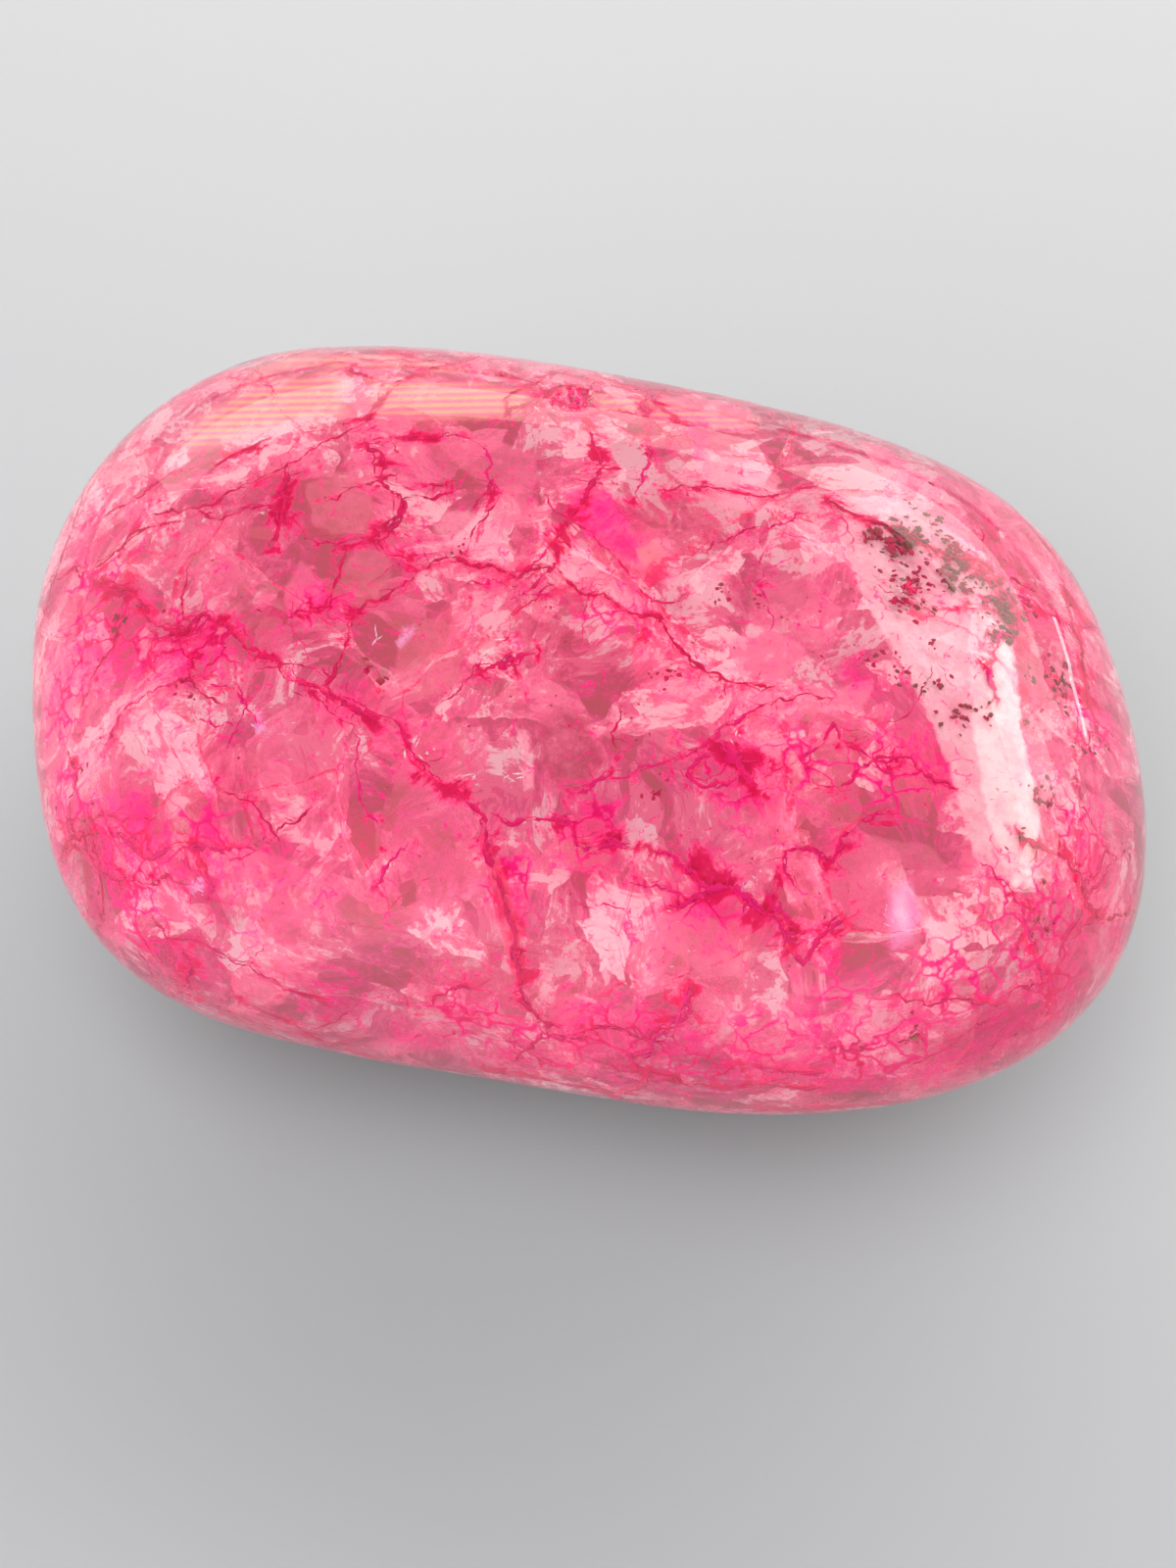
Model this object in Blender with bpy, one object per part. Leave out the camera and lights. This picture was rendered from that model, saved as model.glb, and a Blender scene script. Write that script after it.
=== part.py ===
"""A tumbled pebble of crackle quartz, polished all over, lying on its rubbed flat.

One solid, in metres, +Z up. The long axis runs along X, the origin is the middle of the
outline at the level that the stone rests on, and the back of the stone is towards +Y.
"""

import math

import bmesh
import bpy
import numpy as np
from mathutils import Matrix, Vector, noise

# Driving dimensions, in metres
HALF_LENGTH = 0.0186
HALF_WIDTH = 0.0128
HALF_THICKNESS = 0.0090
FOOT_DEPTH = 0.00040

# The form is a superellipsoid. Squareness 2 is an ellipse, and higher is boxier.
PLAN_SQUARENESS = 3.0
SQUARER_TO_THE_RIGHT = 0.36
ROUNDER_TO_THE_BACK = 0.11
SQUARER_AT_BACK_RIGHT = 0.43
SIDE_SQUARENESS = 2.5

# How tumbling left it out of true
LEAN = 0.375
BOW = 0.05
BEND = 0.034
SWAY = 0.28
NARROWER_RIGHT = 0.05
THICKER_LEFT = 0.05

# Faces of the rough stone that tumbling wore down to soft flats: the way each one faces,
# and how far out it lies, as a share of the stone's reach that way.
WORN_FACES = (
    ((0.00, -0.10, 1.00), 0.955),
    ((0.80, 0.00, 0.60), 0.965),
    ((-0.15, 0.72, 0.68), 0.965),
    ((-0.55, -0.45, 0.60), 0.985),
    ((0.20, 0.60, -0.70), 0.960),
    ((-0.70, -0.20, -0.65), 0.965),
    ((0.35, -0.70, -0.60), 0.975),
)
WORN_SOFTNESS = 0.0007
WORN_STRENGTH = 0.8

# Broad shallow hollows: where they lie, in degrees round from +X and up from level,
# then how wide and how deep they are, in metres.
HOLLOWS = (
    (-150, 35, 0.0042, 0.00018),
    (35, 20, 0.0050, 0.00016),
    (-70, -48, 0.0050, 0.00014),
    (120, -30, 0.0055, 0.00020),
)

# Small pits where a grain broke out: place as above, then length, width and depth in
# metres, and the turn of the long side in degrees.
PITS = (
    ("chip", 106, 48, 0.0019, 0.0012, 0.00042, 25),
    ("slit", 173, 23, 0.0012, 0.0005, 0.00028, 80),
    ("ring", -14, 19, 0.0009, 0.0008, 0.00020, 0),
    ("rough", 11, 36, 0.0010, 0.0010, 0.00022, 0),
    ("notch", -40, 8, 0.0008, 0.0006, 0.00030, 60),
    ("back_chip", 82, -12, 0.0016, 0.0010, 0.00036, 10),
    ("end_pit", 158, -20, 0.0010, 0.0008, 0.00028, 45),
    ("low_pit", -100, -24, 0.0011, 0.0007, 0.00028, 70),
)
PIT_ROUGHNESS = 0.22

STONE_DETAIL = 5
PIT_DETAIL = 2
SMOOTH_UNDER = math.radians(35)

ROSE = (0.86, 0.22, 0.34, 1.0)
POLISH = 0.04
QUARTZ_IOR = 1.544


def clear_scene():
    for obj in list(bpy.data.objects):
        bpy.data.objects.remove(obj, do_unlink=True)


def new_collection(name):
    made = bpy.data.collections.new(name)
    bpy.context.scene.collection.children.link(made)
    return made


def direction(round_deg, up_deg):
    """The way that lies round_deg from +X and up_deg above level."""
    around, up = math.radians(round_deg), math.radians(up_deg)
    return Vector(
        (math.cos(around) * math.cos(up), math.sin(around) * math.cos(up), math.sin(up))
    )


def superellipsoid(ways):
    """The point in each way of a superellipsoid that is squarer at its right-hand end."""
    a, b, c = HALF_LENGTH, HALF_WIDTH, HALF_THICKNESS
    turn = np.arctan2(ways[:, 1] / b, ways[:, 0] / a)
    square = (
        PLAN_SQUARENESS
        + SQUARER_TO_THE_RIGHT * np.cos(turn)
        - ROUNDER_TO_THE_BACK * np.sin(turn)
        + SQUARER_AT_BACK_RIGHT * np.sin(2 * turn)
    )
    plan = (np.abs(ways[:, 0]) / a) ** square + (np.abs(ways[:, 1]) / b) ** square
    upright = (np.abs(ways[:, 2]) / c) ** SIDE_SQUARENESS
    reach = (plan ** (SIDE_SQUARENESS / square) + upright) ** (-1 / SIDE_SQUARENESS)
    return ways * reach[:, None]


def out_of_true(points):
    """Leans, bends and sways the plan, and makes the left end wider and thicker."""
    x, y, z = points.T
    along = x / HALF_LENGTH
    narrowed = y * (1 - NARROWER_RIGHT * along)
    leaning = x - LEAN * narrowed - BOW * HALF_LENGTH * (narrowed / HALF_WIDTH) ** 2
    swayed = narrowed + HALF_WIDTH * (SWAY * along**3 - BEND * along**2)
    thicker = z * (1 - THICKER_LEFT * along)
    return np.stack([leaning, swayed, thicker], axis=1)


def wear_faces(points):
    """Presses what stands past each worn face back towards it, with a soft edge."""
    for facing, share in WORN_FACES:
        normal = np.array(Vector(facing).normalized())
        height = points @ normal
        past = (height - share * height.max()) / WORN_SOFTNESS
        pressed = WORN_STRENGTH * WORN_SOFTNESS * np.logaddexp(0, past)
        points = points - np.outer(pressed, normal)
    return points


def press_hollows(points, ways):
    """Sinks the broad hollows towards the middle of the stone."""
    for round_deg, up_deg, wide, deep in HOLLOWS:
        middle = points[np.argmax(ways @ np.array(direction(round_deg, up_deg)))]
        away = ((points - middle) ** 2).sum(axis=1) / (wide / 2) ** 2
        points = points - ways * (deep * np.exp(-away))[:, None]
    return points


def quartz_material():
    made = bpy.data.materials.new("rose_crackle_quartz")
    made.use_nodes = True
    shader = made.node_tree.nodes["Principled BSDF"]
    shader.inputs["Base Color"].default_value = ROSE
    shader.inputs["Roughness"].default_value = POLISH
    shader.inputs["Metallic"].default_value = 0.0
    shader.inputs["IOR"].default_value = QUARTZ_IOR
    shader.inputs["Transmission Weight"].default_value = 0.6
    made.diffuse_color = ROSE
    return made


def make_stone(collection):
    """The pebble, centred on its origin: a sphere's points moved out to the worn form."""
    bm = bmesh.new()
    bmesh.ops.create_icosphere(bm, subdivisions=STONE_DETAIL, radius=1.0)
    ways = np.array([vertex.co.normalized() for vertex in bm.verts])
    points = press_hollows(wear_faces(out_of_true(superellipsoid(ways))), ways)
    for vertex, point in zip(bm.verts, points):
        vertex.co = point

    foot_level = points[:, 2].min() + FOOT_DEPTH
    cut = bmesh.ops.bisect_plane(
        bm,
        geom=bm.verts[:] + bm.edges[:] + bm.faces[:],
        plane_co=(0, 0, foot_level),
        plane_no=(0, 0, -1),
        clear_outer=True,
    )
    rim = [item for item in cut["geom_cut"] if isinstance(item, bmesh.types.BMEdge)]
    bmesh.ops.contextual_create(bm, geom=rim)
    bmesh.ops.recalc_face_normals(bm, faces=bm.faces[:])

    mesh = bpy.data.meshes.new("crackle_quartz")
    bm.to_mesh(mesh)
    bm.free()
    mesh.shade_smooth()
    mesh.set_sharp_from_angle(angle=SMOOTH_UNDER)
    mesh.materials.append(quartz_material())
    stone = bpy.data.objects.new("crackle_quartz", mesh)
    collection.objects.link(stone)
    return stone


def make_pit_cutter(name, round_deg, up_deg, long, wide, deep, turn_deg, stone, collection):
    """A rough lens, half sunk in the stone's surface and lying along it."""
    way = direction(round_deg, up_deg)
    _, place, normal, _ = stone.ray_cast(way * HALF_LENGTH * 2, -way)

    bm = bmesh.new()
    bmesh.ops.create_icosphere(bm, subdivisions=PIT_DETAIL, radius=1.0)
    for vertex in bm.verts:
        lump = noise.noise(vertex.co * 1.3 + place * 1000)
        vertex.co *= 1 + PIT_ROUGHNESS * lump
        vertex.co = Vector((vertex.co.x * long / 2, vertex.co.y * wide / 2, vertex.co.z * deep))
    mesh = bpy.data.meshes.new("pit_" + name)
    bm.to_mesh(mesh)
    bm.free()

    cutter = bpy.data.objects.new("pit_" + name, mesh)
    facing = normal.to_track_quat("Z", "Y").to_matrix().to_4x4()
    spin = Matrix.Rotation(math.radians(turn_deg), 4, "Z")
    cutter.matrix_world = Matrix.Translation(place) @ facing @ spin
    cutter.hide_render = True
    cutter.display_type = "WIRE"
    collection.objects.link(cutter)
    return cutter


def stand_on_origin(stone, cutters):
    """Moves stone and cutters so that the foot is at Z 0 and the outline is centred."""
    corners = np.array([vertex.co for vertex in stone.data.vertices])
    middle = (corners.min(axis=0) + corners.max(axis=0)) / 2
    shift = Vector((-middle[0], -middle[1], -corners[:, 2].min()))
    stone.data.transform(Matrix.Translation(shift))
    for cutter in cutters:
        cutter.matrix_world = Matrix.Translation(shift) @ cutter.matrix_world


def main():
    clear_scene()
    parts = new_collection("crackle_quartz")
    helpers = new_collection("cutters")
    stone = make_stone(parts)
    bpy.context.view_layer.update()
    cutters = [make_pit_cutter(*pit, stone, helpers) for pit in PITS]
    stand_on_origin(stone, cutters)
    pits = stone.modifiers.new("pits", "BOOLEAN")
    pits.operation = "DIFFERENCE"
    pits.operand_type = "COLLECTION"
    pits.collection = helpers
    pits.solver = "EXACT"


main()
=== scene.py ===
"""Looks of the crackle quartz: clear polished skin, crack walls, healed clouds and dye inside it.

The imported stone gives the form. Everything here is worked out from it, in metres.
"""

import itertools
import math
import random

import bmesh
import bpy
import numpy as np
from mathutils import Matrix, Vector, noise
from mathutils.bvhtree import BVHTree
from mathutils.geometry import delaunay_2d_cdt
from mathutils.kdtree import KDTree


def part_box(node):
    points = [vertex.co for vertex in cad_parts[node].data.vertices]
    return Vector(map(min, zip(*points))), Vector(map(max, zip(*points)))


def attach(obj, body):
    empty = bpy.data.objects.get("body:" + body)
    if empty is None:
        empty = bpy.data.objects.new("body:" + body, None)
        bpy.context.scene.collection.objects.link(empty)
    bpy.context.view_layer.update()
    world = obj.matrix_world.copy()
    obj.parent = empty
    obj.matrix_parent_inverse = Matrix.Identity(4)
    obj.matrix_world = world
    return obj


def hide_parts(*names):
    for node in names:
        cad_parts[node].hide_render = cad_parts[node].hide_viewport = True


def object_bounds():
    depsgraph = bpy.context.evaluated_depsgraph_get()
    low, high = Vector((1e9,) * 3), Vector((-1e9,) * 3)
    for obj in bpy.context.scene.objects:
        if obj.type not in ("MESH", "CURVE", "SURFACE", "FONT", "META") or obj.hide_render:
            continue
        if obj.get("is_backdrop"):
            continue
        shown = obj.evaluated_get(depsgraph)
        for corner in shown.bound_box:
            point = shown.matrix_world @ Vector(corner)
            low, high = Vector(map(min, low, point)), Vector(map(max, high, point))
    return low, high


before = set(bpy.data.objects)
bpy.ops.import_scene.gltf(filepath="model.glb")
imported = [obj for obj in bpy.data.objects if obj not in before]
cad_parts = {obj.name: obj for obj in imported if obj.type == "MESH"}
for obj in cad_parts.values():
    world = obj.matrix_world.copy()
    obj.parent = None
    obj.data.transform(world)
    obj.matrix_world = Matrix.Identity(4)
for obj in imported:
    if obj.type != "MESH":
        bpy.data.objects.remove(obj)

NODE = "crackle_quartz"
MM = 0.001
# The least length that anything is divided by
TINY = 1e-9

# The photograph's frame, and where its camera stood: degrees, then metres from the stone's
# middle, and to the side and up from there.
PHOTO_WIDE, PHOTO_HIGH = 1200, 1600
SENSOR_MM, LENS_MM = 36, 56
AZIMUTH, ELEVATION = 13.5, 56
DISTANCE, SIDE_STEP, UP_STEP = 0.084, 0.00019, -0.0023
MIDDLE = Vector((-0.00004, 0.00024, 0.00864))
# How much a way from the middle must go towards the camera to face it, and below what it is hidden
IN_FRONT_FROM, HIDDEN_FROM = 0.45, 0.12

# The pits of the solid: degrees round from +X and up from level, then length, width and
# depth in metres, and the turn of the long side in degrees.
PITS = {
    "chip": (106, 48, 0.0019, 0.0012, 0.00042, 25),
    "slit": (173, 23, 0.0012, 0.0005, 0.00028, 80),
    "ring": (-14, 19, 0.0009, 0.0008, 0.00020, 0),
    "rough": (11, 36, 0.0010, 0.0010, 0.00022, 0),
    "notch": (-40, 8, 0.0008, 0.0006, 0.00030, 60),
    "back_chip": (82, -12, 0.0016, 0.0010, 0.00036, 10),
    "end_pit": (158, -20, 0.0010, 0.0008, 0.00028, 45),
    "low_pit": (-100, -24, 0.0011, 0.0007, 0.00028, 70),
}
# A ray that starts this far out meets the stone from outside
CLEAR_OF_STONE = 0.05
# Rounds of finer mesh round each pit, then how ragged its rim, how rough its floor and how
# steep its sides are
PIT_CUTS = 2
PIT_RIM = 0.25
PIT_FLOOR = 0.35
PIT_SLOPE = 1.8

# The polished skin: how strongly it bends light, how finely its mesh is split, how many times
# its pits and then all of it are evened out, and its slight waves
QUARTZ_IOR = 1.544
SKIN_DETAIL = 7
PIT_PASSES = 250
SKIN_PASSES = 40
WAVES = 0.012 * MM
WAVE_LENGTH = 5 * MM

# Walls between the pieces that the stone cracked into, kept down to where clouds hide them.
# COVER_OF_SKIN is how far under the skin they and the cracks start.
PIECES = 170
NEIGHBOURS = 33
WALL_REACH = 20 * MM
WALL_STEP = 0.45 * MM
WALLS_LEFT_OUT = 0.38
WALLS_END = 3.1 * MM
WALL_COVERS = (0.15, 0.4, 0.65, 0.9)
COVER_OF_SKIN = 0.12 * MM

# Closed sheets that follow the skin: depth and height of the lumps, in metres
LAYER_DETAIL = 6
LAYERS = {
    "crazed_film": (0.26 * MM, 0.05 * MM),
    "upper_clouds": (1.1 * MM, 0.45 * MM),
    "deep_clouds": (2.5 * MM, 0.6 * MM),
}
LUMP_LENGTH = 4 * MM
# The ball round the middle on which their noise is laid out
BALL_RADIUS = 15 * MM

# Blender starts its vector noise by the clock where this isn't set
DRIFT_SEED = 7

# Lamps: (degrees round, degrees up, metres away), (width, height), watts, whether the polish
# shows them, and colour
WHITE, WARM, WARMER = (1.0, 1.0, 1.0), (1.0, 0.9, 0.82), (1.0, 0.86, 0.76)
LAMPS = {
    "window": ((45, 22, 0.25), (0.38, 0.085), 0.22, True, WARM),
    "back_fill": ((84, 30, 0.25), (0.55, 0.12), 1.3, False, WHITE),
    "back_strip": ((118, 24, 0.27), (0.28, 0.08), 0.14, True, WARMER),
    "low_strip": ((46, 1, 0.25), (0.06, 0.007), 0.006, True, WHITE),
    "overhead": ((240, 68, 0.40), (0.40, 0.40), 1.9, False, WHITE),
    "front_fill": ((-125, 8, 0.30), (0.46, 0.09), 1.4, False, WHITE),
    "side_fill": ((-5, 10, 0.30), (0.30, 0.10), 0.5, False, WHITE),
}

# The soft light all round, and the height of the sky from which it is dimmest. The floor's
# half side is in metres.
HORIZON_LIGHT, OVERHEAD_LIGHT, DIM_FROM = 0.95, 0.2, 0.7
STUDIO_GREY = (0.9, 0.91, 0.93, 1.0)
FLOOR_HALF = 4.0
# The floor is darker near the stone and paler far away: painted light that evens out the lamps, which light
# the near floor strongly and don't reach far.
NEAR_FLOOR, FAR_FLOOR = (0.30, 0.303, 0.31, 1.0), (0.85, 0.855, 0.865, 1.0)
FLOOR_FADE_MM = (150.0, 1500.0)


def linear(share):
    return share / 12.92 if share <= 0.04045 else ((share + 0.055) / 1.055) ** 2.4


def srgb(red, green, blue):
    """A colour of 0 to 255 as the linear one that Blender takes."""
    share = [value / 255 for value in (red, green, blue)]
    return tuple(linear(s) for s in share) + (1.0,)


SALMON = srgb(246, 126, 158)
ROSE = srgb(234, 102, 144)
BLUSH = srgb(255, 172, 188)
PALE = srgb(255, 206, 214)
PEACH = srgb(252, 140, 150)
MAUVE = srgb(216, 100, 130)
# DUSK is a dusky tone that also paints darkness where the dark surroundings show through clear quartz
DUSK = srgb(204, 102, 118)
SHADE = srgb(178, 66, 92)
MAGENTA = srgb(252, 22, 130)
CRIMSON = srgb(226, 4, 86)
GARNET = srgb(200, 6, 76)
# LILAC tints the painted sparkle highlights
LILAC = srgb(244, 186, 240)
OLIVE = srgb(110, 76, 60)
HAZE = srgb(196, 150, 128)
# PEARL paints sparkle highlights and the core of the window lamp's reflection
PEARL = srgb(255, 230, 226)
# Colour of the painted stripe reflection along the top edge
STRIPE_REFLECTION_AMBER = srgb(255, 180, 132)

# From dusky tone, which also paints darkness where the dark surroundings show through clear quartz, to the
# palest clouds
MILKY = (DUSK, MAUVE, MAUVE, ROSE, ROSE, SALMON, SALMON, SALMON, BLUSH, PALE)

# Where the photograph shows broad stains, and dusky places painted dark where the dark surroundings show
# through clear quartz: pixel, size in millimetres and strength
SPOTS = {
    "dye": (
        (110, 660, 2.2, 0.9), (190, 670, 1.6, 1.0), (60, 700, 1.5, 0.9), (130, 860, 2.2, 1.0),
        (210, 890, 1.8, 0.9), (80, 560, 1.6, 0.6), (620, 530, 1.3, 1.0), (690, 1060, 1.8, 0.9),
        (760, 1090, 1.8, 1.0), (480, 1030, 1.8, 0.7), (1010, 1070, 2.0, 1.0), (1080, 1000, 1.8, 0.8),
        (940, 1040, 1.6, 0.8), (520, 920, 0.9, 1.0), (750, 780, 1.2, 1.0), (600, 850, 1.6, 0.7),
        (300, 880, 1.8, 0.5), (720, 920, 1.4, 0.8), (830, 960, 1.1, 0.8), (370, 715, 0.8, 0.9),
        (700, 420, 1.0, 0.7), (330, 620, 1.0, 0.9), (930, 770, 1.2, 0.8), (1110, 880, 1.4, 0.8),
        (1130, 740, 1.0, 0.8), (860, 690, 1.2, 0.6), (60, 880, 1.4, 0.9), (180, 980, 1.6, 0.8),
        (340, 1020, 1.6, 0.7), (600, 1050, 1.8, 0.9), (540, 1080, 1.6, 0.9), (650, 1100, 1.6, 1.0),
        (860, 1095, 1.8, 1.0), (960, 1090, 1.6, 0.9), (60, 830, 1.2, 1.0), (1140, 960, 1.4, 0.9),
        (840, 1050, 1.6, 0.8), (1060, 1060, 1.4, 1.0), (90, 930, 1.2, 0.8), (420, 1060, 1.4, 0.8),
    ),
    # Dusk spots: painted darkness where the dark surroundings show through clear quartz
    "dusk": (
        (345, 515, 1.2, 1.0), (365, 600, 1.0, 1.0), (585, 775, 1.2, 1.0), (480, 480, 1.3, 0.8),
        (420, 660, 1.4, 0.7), (700, 960, 1.6, 0.8), (600, 860, 1.2, 0.8), (840, 890, 2.2, 0.6),
        (740, 640, 1.6, 0.4), (880, 820, 1.6, 0.4), (400, 950, 1.5, 0.7), (270, 800, 1.5, 0.6),
        (400, 820, 1.8, 0.7), (440, 880, 1.4, 0.7), (300, 640, 1.4, 0.7),
    ),
    "pale": (
        (640, 500, 1.4, 0.9), (800, 560, 1.8, 0.9), (700, 570, 1.3, 0.8), (880, 500, 1.6, 0.9),
        (120, 500, 1.4, 0.8), (570, 570, 1.4, 1.0), (760, 520, 1.8, 0.8), (300, 440, 2.0, 0.7),
        (440, 520, 1.2, 0.6), (500, 640, 1.2, 0.6), (520, 760, 1.0, 0.8), (700, 620, 1.6, 0.8),
        (180, 740, 1.8, 0.8), (950, 650, 2.4, 0.7), (250, 970, 1.8, 0.6), (640, 940, 1.6, 0.6),
        (770, 650, 1.4, 0.6), (150, 560, 1.4, 0.8), (250, 850, 1.6, 0.5), (600, 1000, 1.6, 0.6),
        (930, 940, 1.4, 0.8), (1050, 980, 1.4, 0.6), (450, 950, 1.2, 0.4), (820, 1020, 1.4, 0.6),
        (90, 780, 1.4, 0.8),
    ),
    "cells": (
        (1060, 940, 2.0, 1.0), (1110, 860, 1.6, 0.9), (980, 1000, 1.6, 0.8), (100, 640, 1.6, 0.8),
        (170, 650, 1.4, 0.9), (650, 1060, 2.0, 0.8), (480, 1040, 1.8, 0.8), (780, 1060, 1.6, 0.6),
        (900, 790, 1.4, 0.8), (1120, 750, 1.4, 0.8), (130, 880, 1.6, 0.8), (600, 840, 1.4, 0.7),
        (820, 780, 1.4, 0.6), (250, 960, 1.4, 0.4), (860, 1010, 1.4, 0.5), (60, 720, 1.4, 1.0),
        (90, 600, 1.4, 0.9), (200, 860, 1.4, 0.8), (220, 660, 1.2, 0.8), (150, 950, 1.4, 0.7),
        (750, 790, 1.2, 0.8), (720, 910, 1.2, 0.8), (520, 900, 1.0, 0.8), (330, 620, 1.0, 0.7),
        (620, 620, 1.6, 0.5), (560, 1070, 1.6, 1.0), (700, 1095, 1.8, 1.0), (900, 1075, 1.8, 0.9),
        (1080, 1020, 1.6, 1.0), (70, 820, 1.4, 0.9),
    ),
}

# Cracks that reach the skin: how wide each one looks in millimetres, share of bright dye, and
# pixels on the way
CRACKS = {
    "upper_left": (0.09, 0.1, (
        (43, 604), (62, 589), (89, 583), (123, 558), (146, 539), (181, 531), (219, 528), (250, 516),
        (273, 514), (299, 528), (311, 549), (353, 550), (380, 549), (407, 524), (410, 508), (441, 508),
        (468, 497),
    )),
    "main_upper": (0.12, 0.2, (
        (89, 583), (100, 596), (131, 604), (158, 639), (188, 642), (208, 625), (234, 639), (250, 661),
        (284, 673), (319, 698), (343, 711), (378, 727), (400, 733), (413, 752), (438, 787), (458, 806),
    )),
    "main_lower": (0.14, 0.3, (
        (458, 806), (477, 819), (493, 832), (496, 854), (493, 870), (502, 886), (512, 908), (516, 935),
        (525, 960), (527, 985), (530, 1010), (545, 1035), (560, 1060),
    )),
    "top_left_drop": (0.1, 0.2, (
        (371, 446), (387, 487), (413, 510), (403, 535), (381, 550), (394, 564), (426, 583),
    )),
    "across_the_middle": (0.09, 0.0, (
        (426, 583), (445, 570), (464, 567), (480, 577), (502, 575), (528, 589), (553, 578), (569, 578),
        (582, 594), (617, 604), (630, 618), (655, 628), (674, 628), (681, 644), (700, 666), (722, 685),
        (741, 693), (757, 696), (783, 701), (792, 698),
    )),
    "top_middle": (0.06, 0.3, (
        (553, 500), (579, 526), (607, 548), (636, 577), (652, 599), (665, 613), (690, 613), (706, 602),
    )),
    "left_branch": (0.1, 0.1, (
        (426, 583), (394, 608), (362, 624), (355, 644), (349, 666), (333, 695), (343, 711),
    )),
    "centre_branch": (0.12, 0.5, (
        (499, 829), (521, 841), (553, 835), (582, 838), (588, 860), (607, 864), (627, 857), (655, 865),
    )),
    "centre_rise": (0.09, 0.6, (
        (579, 809), (611, 794), (646, 787), (681, 774), (713, 762), (738, 739), (776, 720), (789, 714),
    )),
    "broad_gash": (0.34, 0.4, ((735, 755), (748, 771), (757, 784), (768, 798), (780, 810))),
    "gash_ring": (0.12, 0.5, (
        (757, 790), (742, 800), (722, 802), (705, 794), (703, 783), (715, 772), (733, 768),
    )),
    "lower_right_run": (0.16, 0.6, (
        (668, 870), (690, 876), (713, 899), (725, 908), (745, 905), (765, 915), (790, 935), (815, 960),
    )),
    "lower_spur": (0.12, 0.6, ((725, 908), (703, 921), (680, 925))),
    "short_red_arc": (0.2, 0.3, ((477, 691), (496, 682), (515, 679), (534, 666), (547, 666))),
    "right_wave": (0.08, 0.3, ((826, 793), (869, 797), (887, 779), (930, 772), (958, 797), (980, 804))),
    "right_peak": (0.09, 0.5, (
        (780, 797), (808, 779), (830, 765), (851, 736), (875, 760), (898, 783), (919, 793),
    )),
    "right_hook": (0.09, 0.4, (
        (912, 820), (880, 836), (858, 854), (851, 879), (826, 865), (801, 868), (801, 890), (815, 904),
    )),
    "lower_fork": (0.12, 0.6, ((780, 907), (797, 929), (801, 957), (819, 986), (837, 957), (865, 932))),
    "right_end": (0.07, 0.4, (
        (1101, 818), (1123, 854), (1141, 876), (1123, 904), (1083, 976), (1060, 1010),
    )),
    "upper_left_fork": (0.07, 0.1, ((353, 550), (349, 570), (338, 604), (326, 623), (288, 639))),
    "upper_right_hairline": (0.06, 0.0, ((720, 570), (752, 545), (790, 538), (815, 548))),
    "bottom_edge": (0.1, 0.5, ((600, 1080), (640, 1095), (700, 1108), (760, 1110), (850, 1105))),
    "bottom_left_short": (0.08, 0.4, ((430, 1030), (460, 1010), (500, 1000))),
    "bottom_arch": (0.1, 0.5, ((560, 1060), (610, 1050), (660, 1062), (700, 1040), (705, 1000))),
    "left_end": (0.08, 0.2, ((60, 760), (75, 800), (70, 840), (95, 880), (140, 900), (200, 905))),
    "bottom_right": (0.07, 0.3, ((900, 1020), (950, 1028), (1010, 1024), (1050, 1010), (1075, 980))),
    "left_dye_line": (0.12, 0.7, ((106, 848), (140, 872), (185, 862), (225, 870), (262, 868))),
    "left_dye_drop": (0.1, 0.8, ((180, 862), (190, 885), (215, 905), (208, 925))),
    "left_cell_top": (0.09, 0.6, ((150, 640), (175, 655), (200, 645), (215, 625))),
    "left_arch": (0.07, 0.7, ((105, 770), (120, 730), (160, 700), (205, 690), (243, 708), (262, 742))),
    "bottom_left": (0.08, 0.5, ((150, 930), (200, 962), (240, 985), (290, 1010), (345, 1030))),
    "bottom_gash": (0.16, 0.8, ((706, 1004), (692, 1040), (664, 1068), (650, 1092))),
    "bottom_ripple": (0.09, 0.6, ((720, 1100), (760, 1085), (800, 1095), (850, 1100))),
    "right_cell_low": (0.07, 0.5, ((1000, 880), (1030, 902), (1062, 930), (1050, 965))),
    "right_cell_edge": (0.07, 0.5, ((1132, 860), (1108, 900), (1120, 932), (1088, 962))),
    "right_cell_top": (0.07, 0.4, ((1098, 700), (1122, 738), (1108, 765), (1085, 742))),
}
# Half a crack's width as a share of how wide it looks, and how wide one with a second strand looks
HALF_OF_LOOK = 0.38
BROAD_CRACK = 0.09
# Half the width of second strands and twigs, as a share of their crack's
STRAND_SHARE, TWIG_SHARE = 0.45, 0.5
# Chance cracks, which wander on by a stride at a time: fewest strides and least half width in
# millimetres, the most of both where they would show and elsewhere, and their shares of bright dye
CHANCE_CRACKS = 180
CRACK_STRIDE = 0.7 * MM
CHANCE_LEAST = (3, 0.012)
CHANCE_MOST_IN_FRONT = (5, 0.03)
CHANCE_MOST_ELSEWHERE = (14, 0.06)
CHANCE_BRIGHT = (0.0, 0.2, 0.8)
# Rounds of kinks down to the finest step, how far a kink goes aside, and points between twigs
KINKS = 6
CRACK_STEP = 0.09 * MM
JAG = 0.13
TWIG_EVERY = 9
# The tube of dye along a crack, which thins out over the points at its ends
VEIN_SIDES = 4
VEIN_FLATNESS = 0.3
THINNEST_VEIN = 0.003 * MM
TAPER_POINTS = 6
# The fin below it: points of the crack from one column to the next, rows, and depth
FIN_EVERY = 3
FIN_ROWS = 4
FIN_DEPTH = 1.2 * MM
# How far dye crept out of a crack
STAIN_REACH = 0.42 * MM

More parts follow.
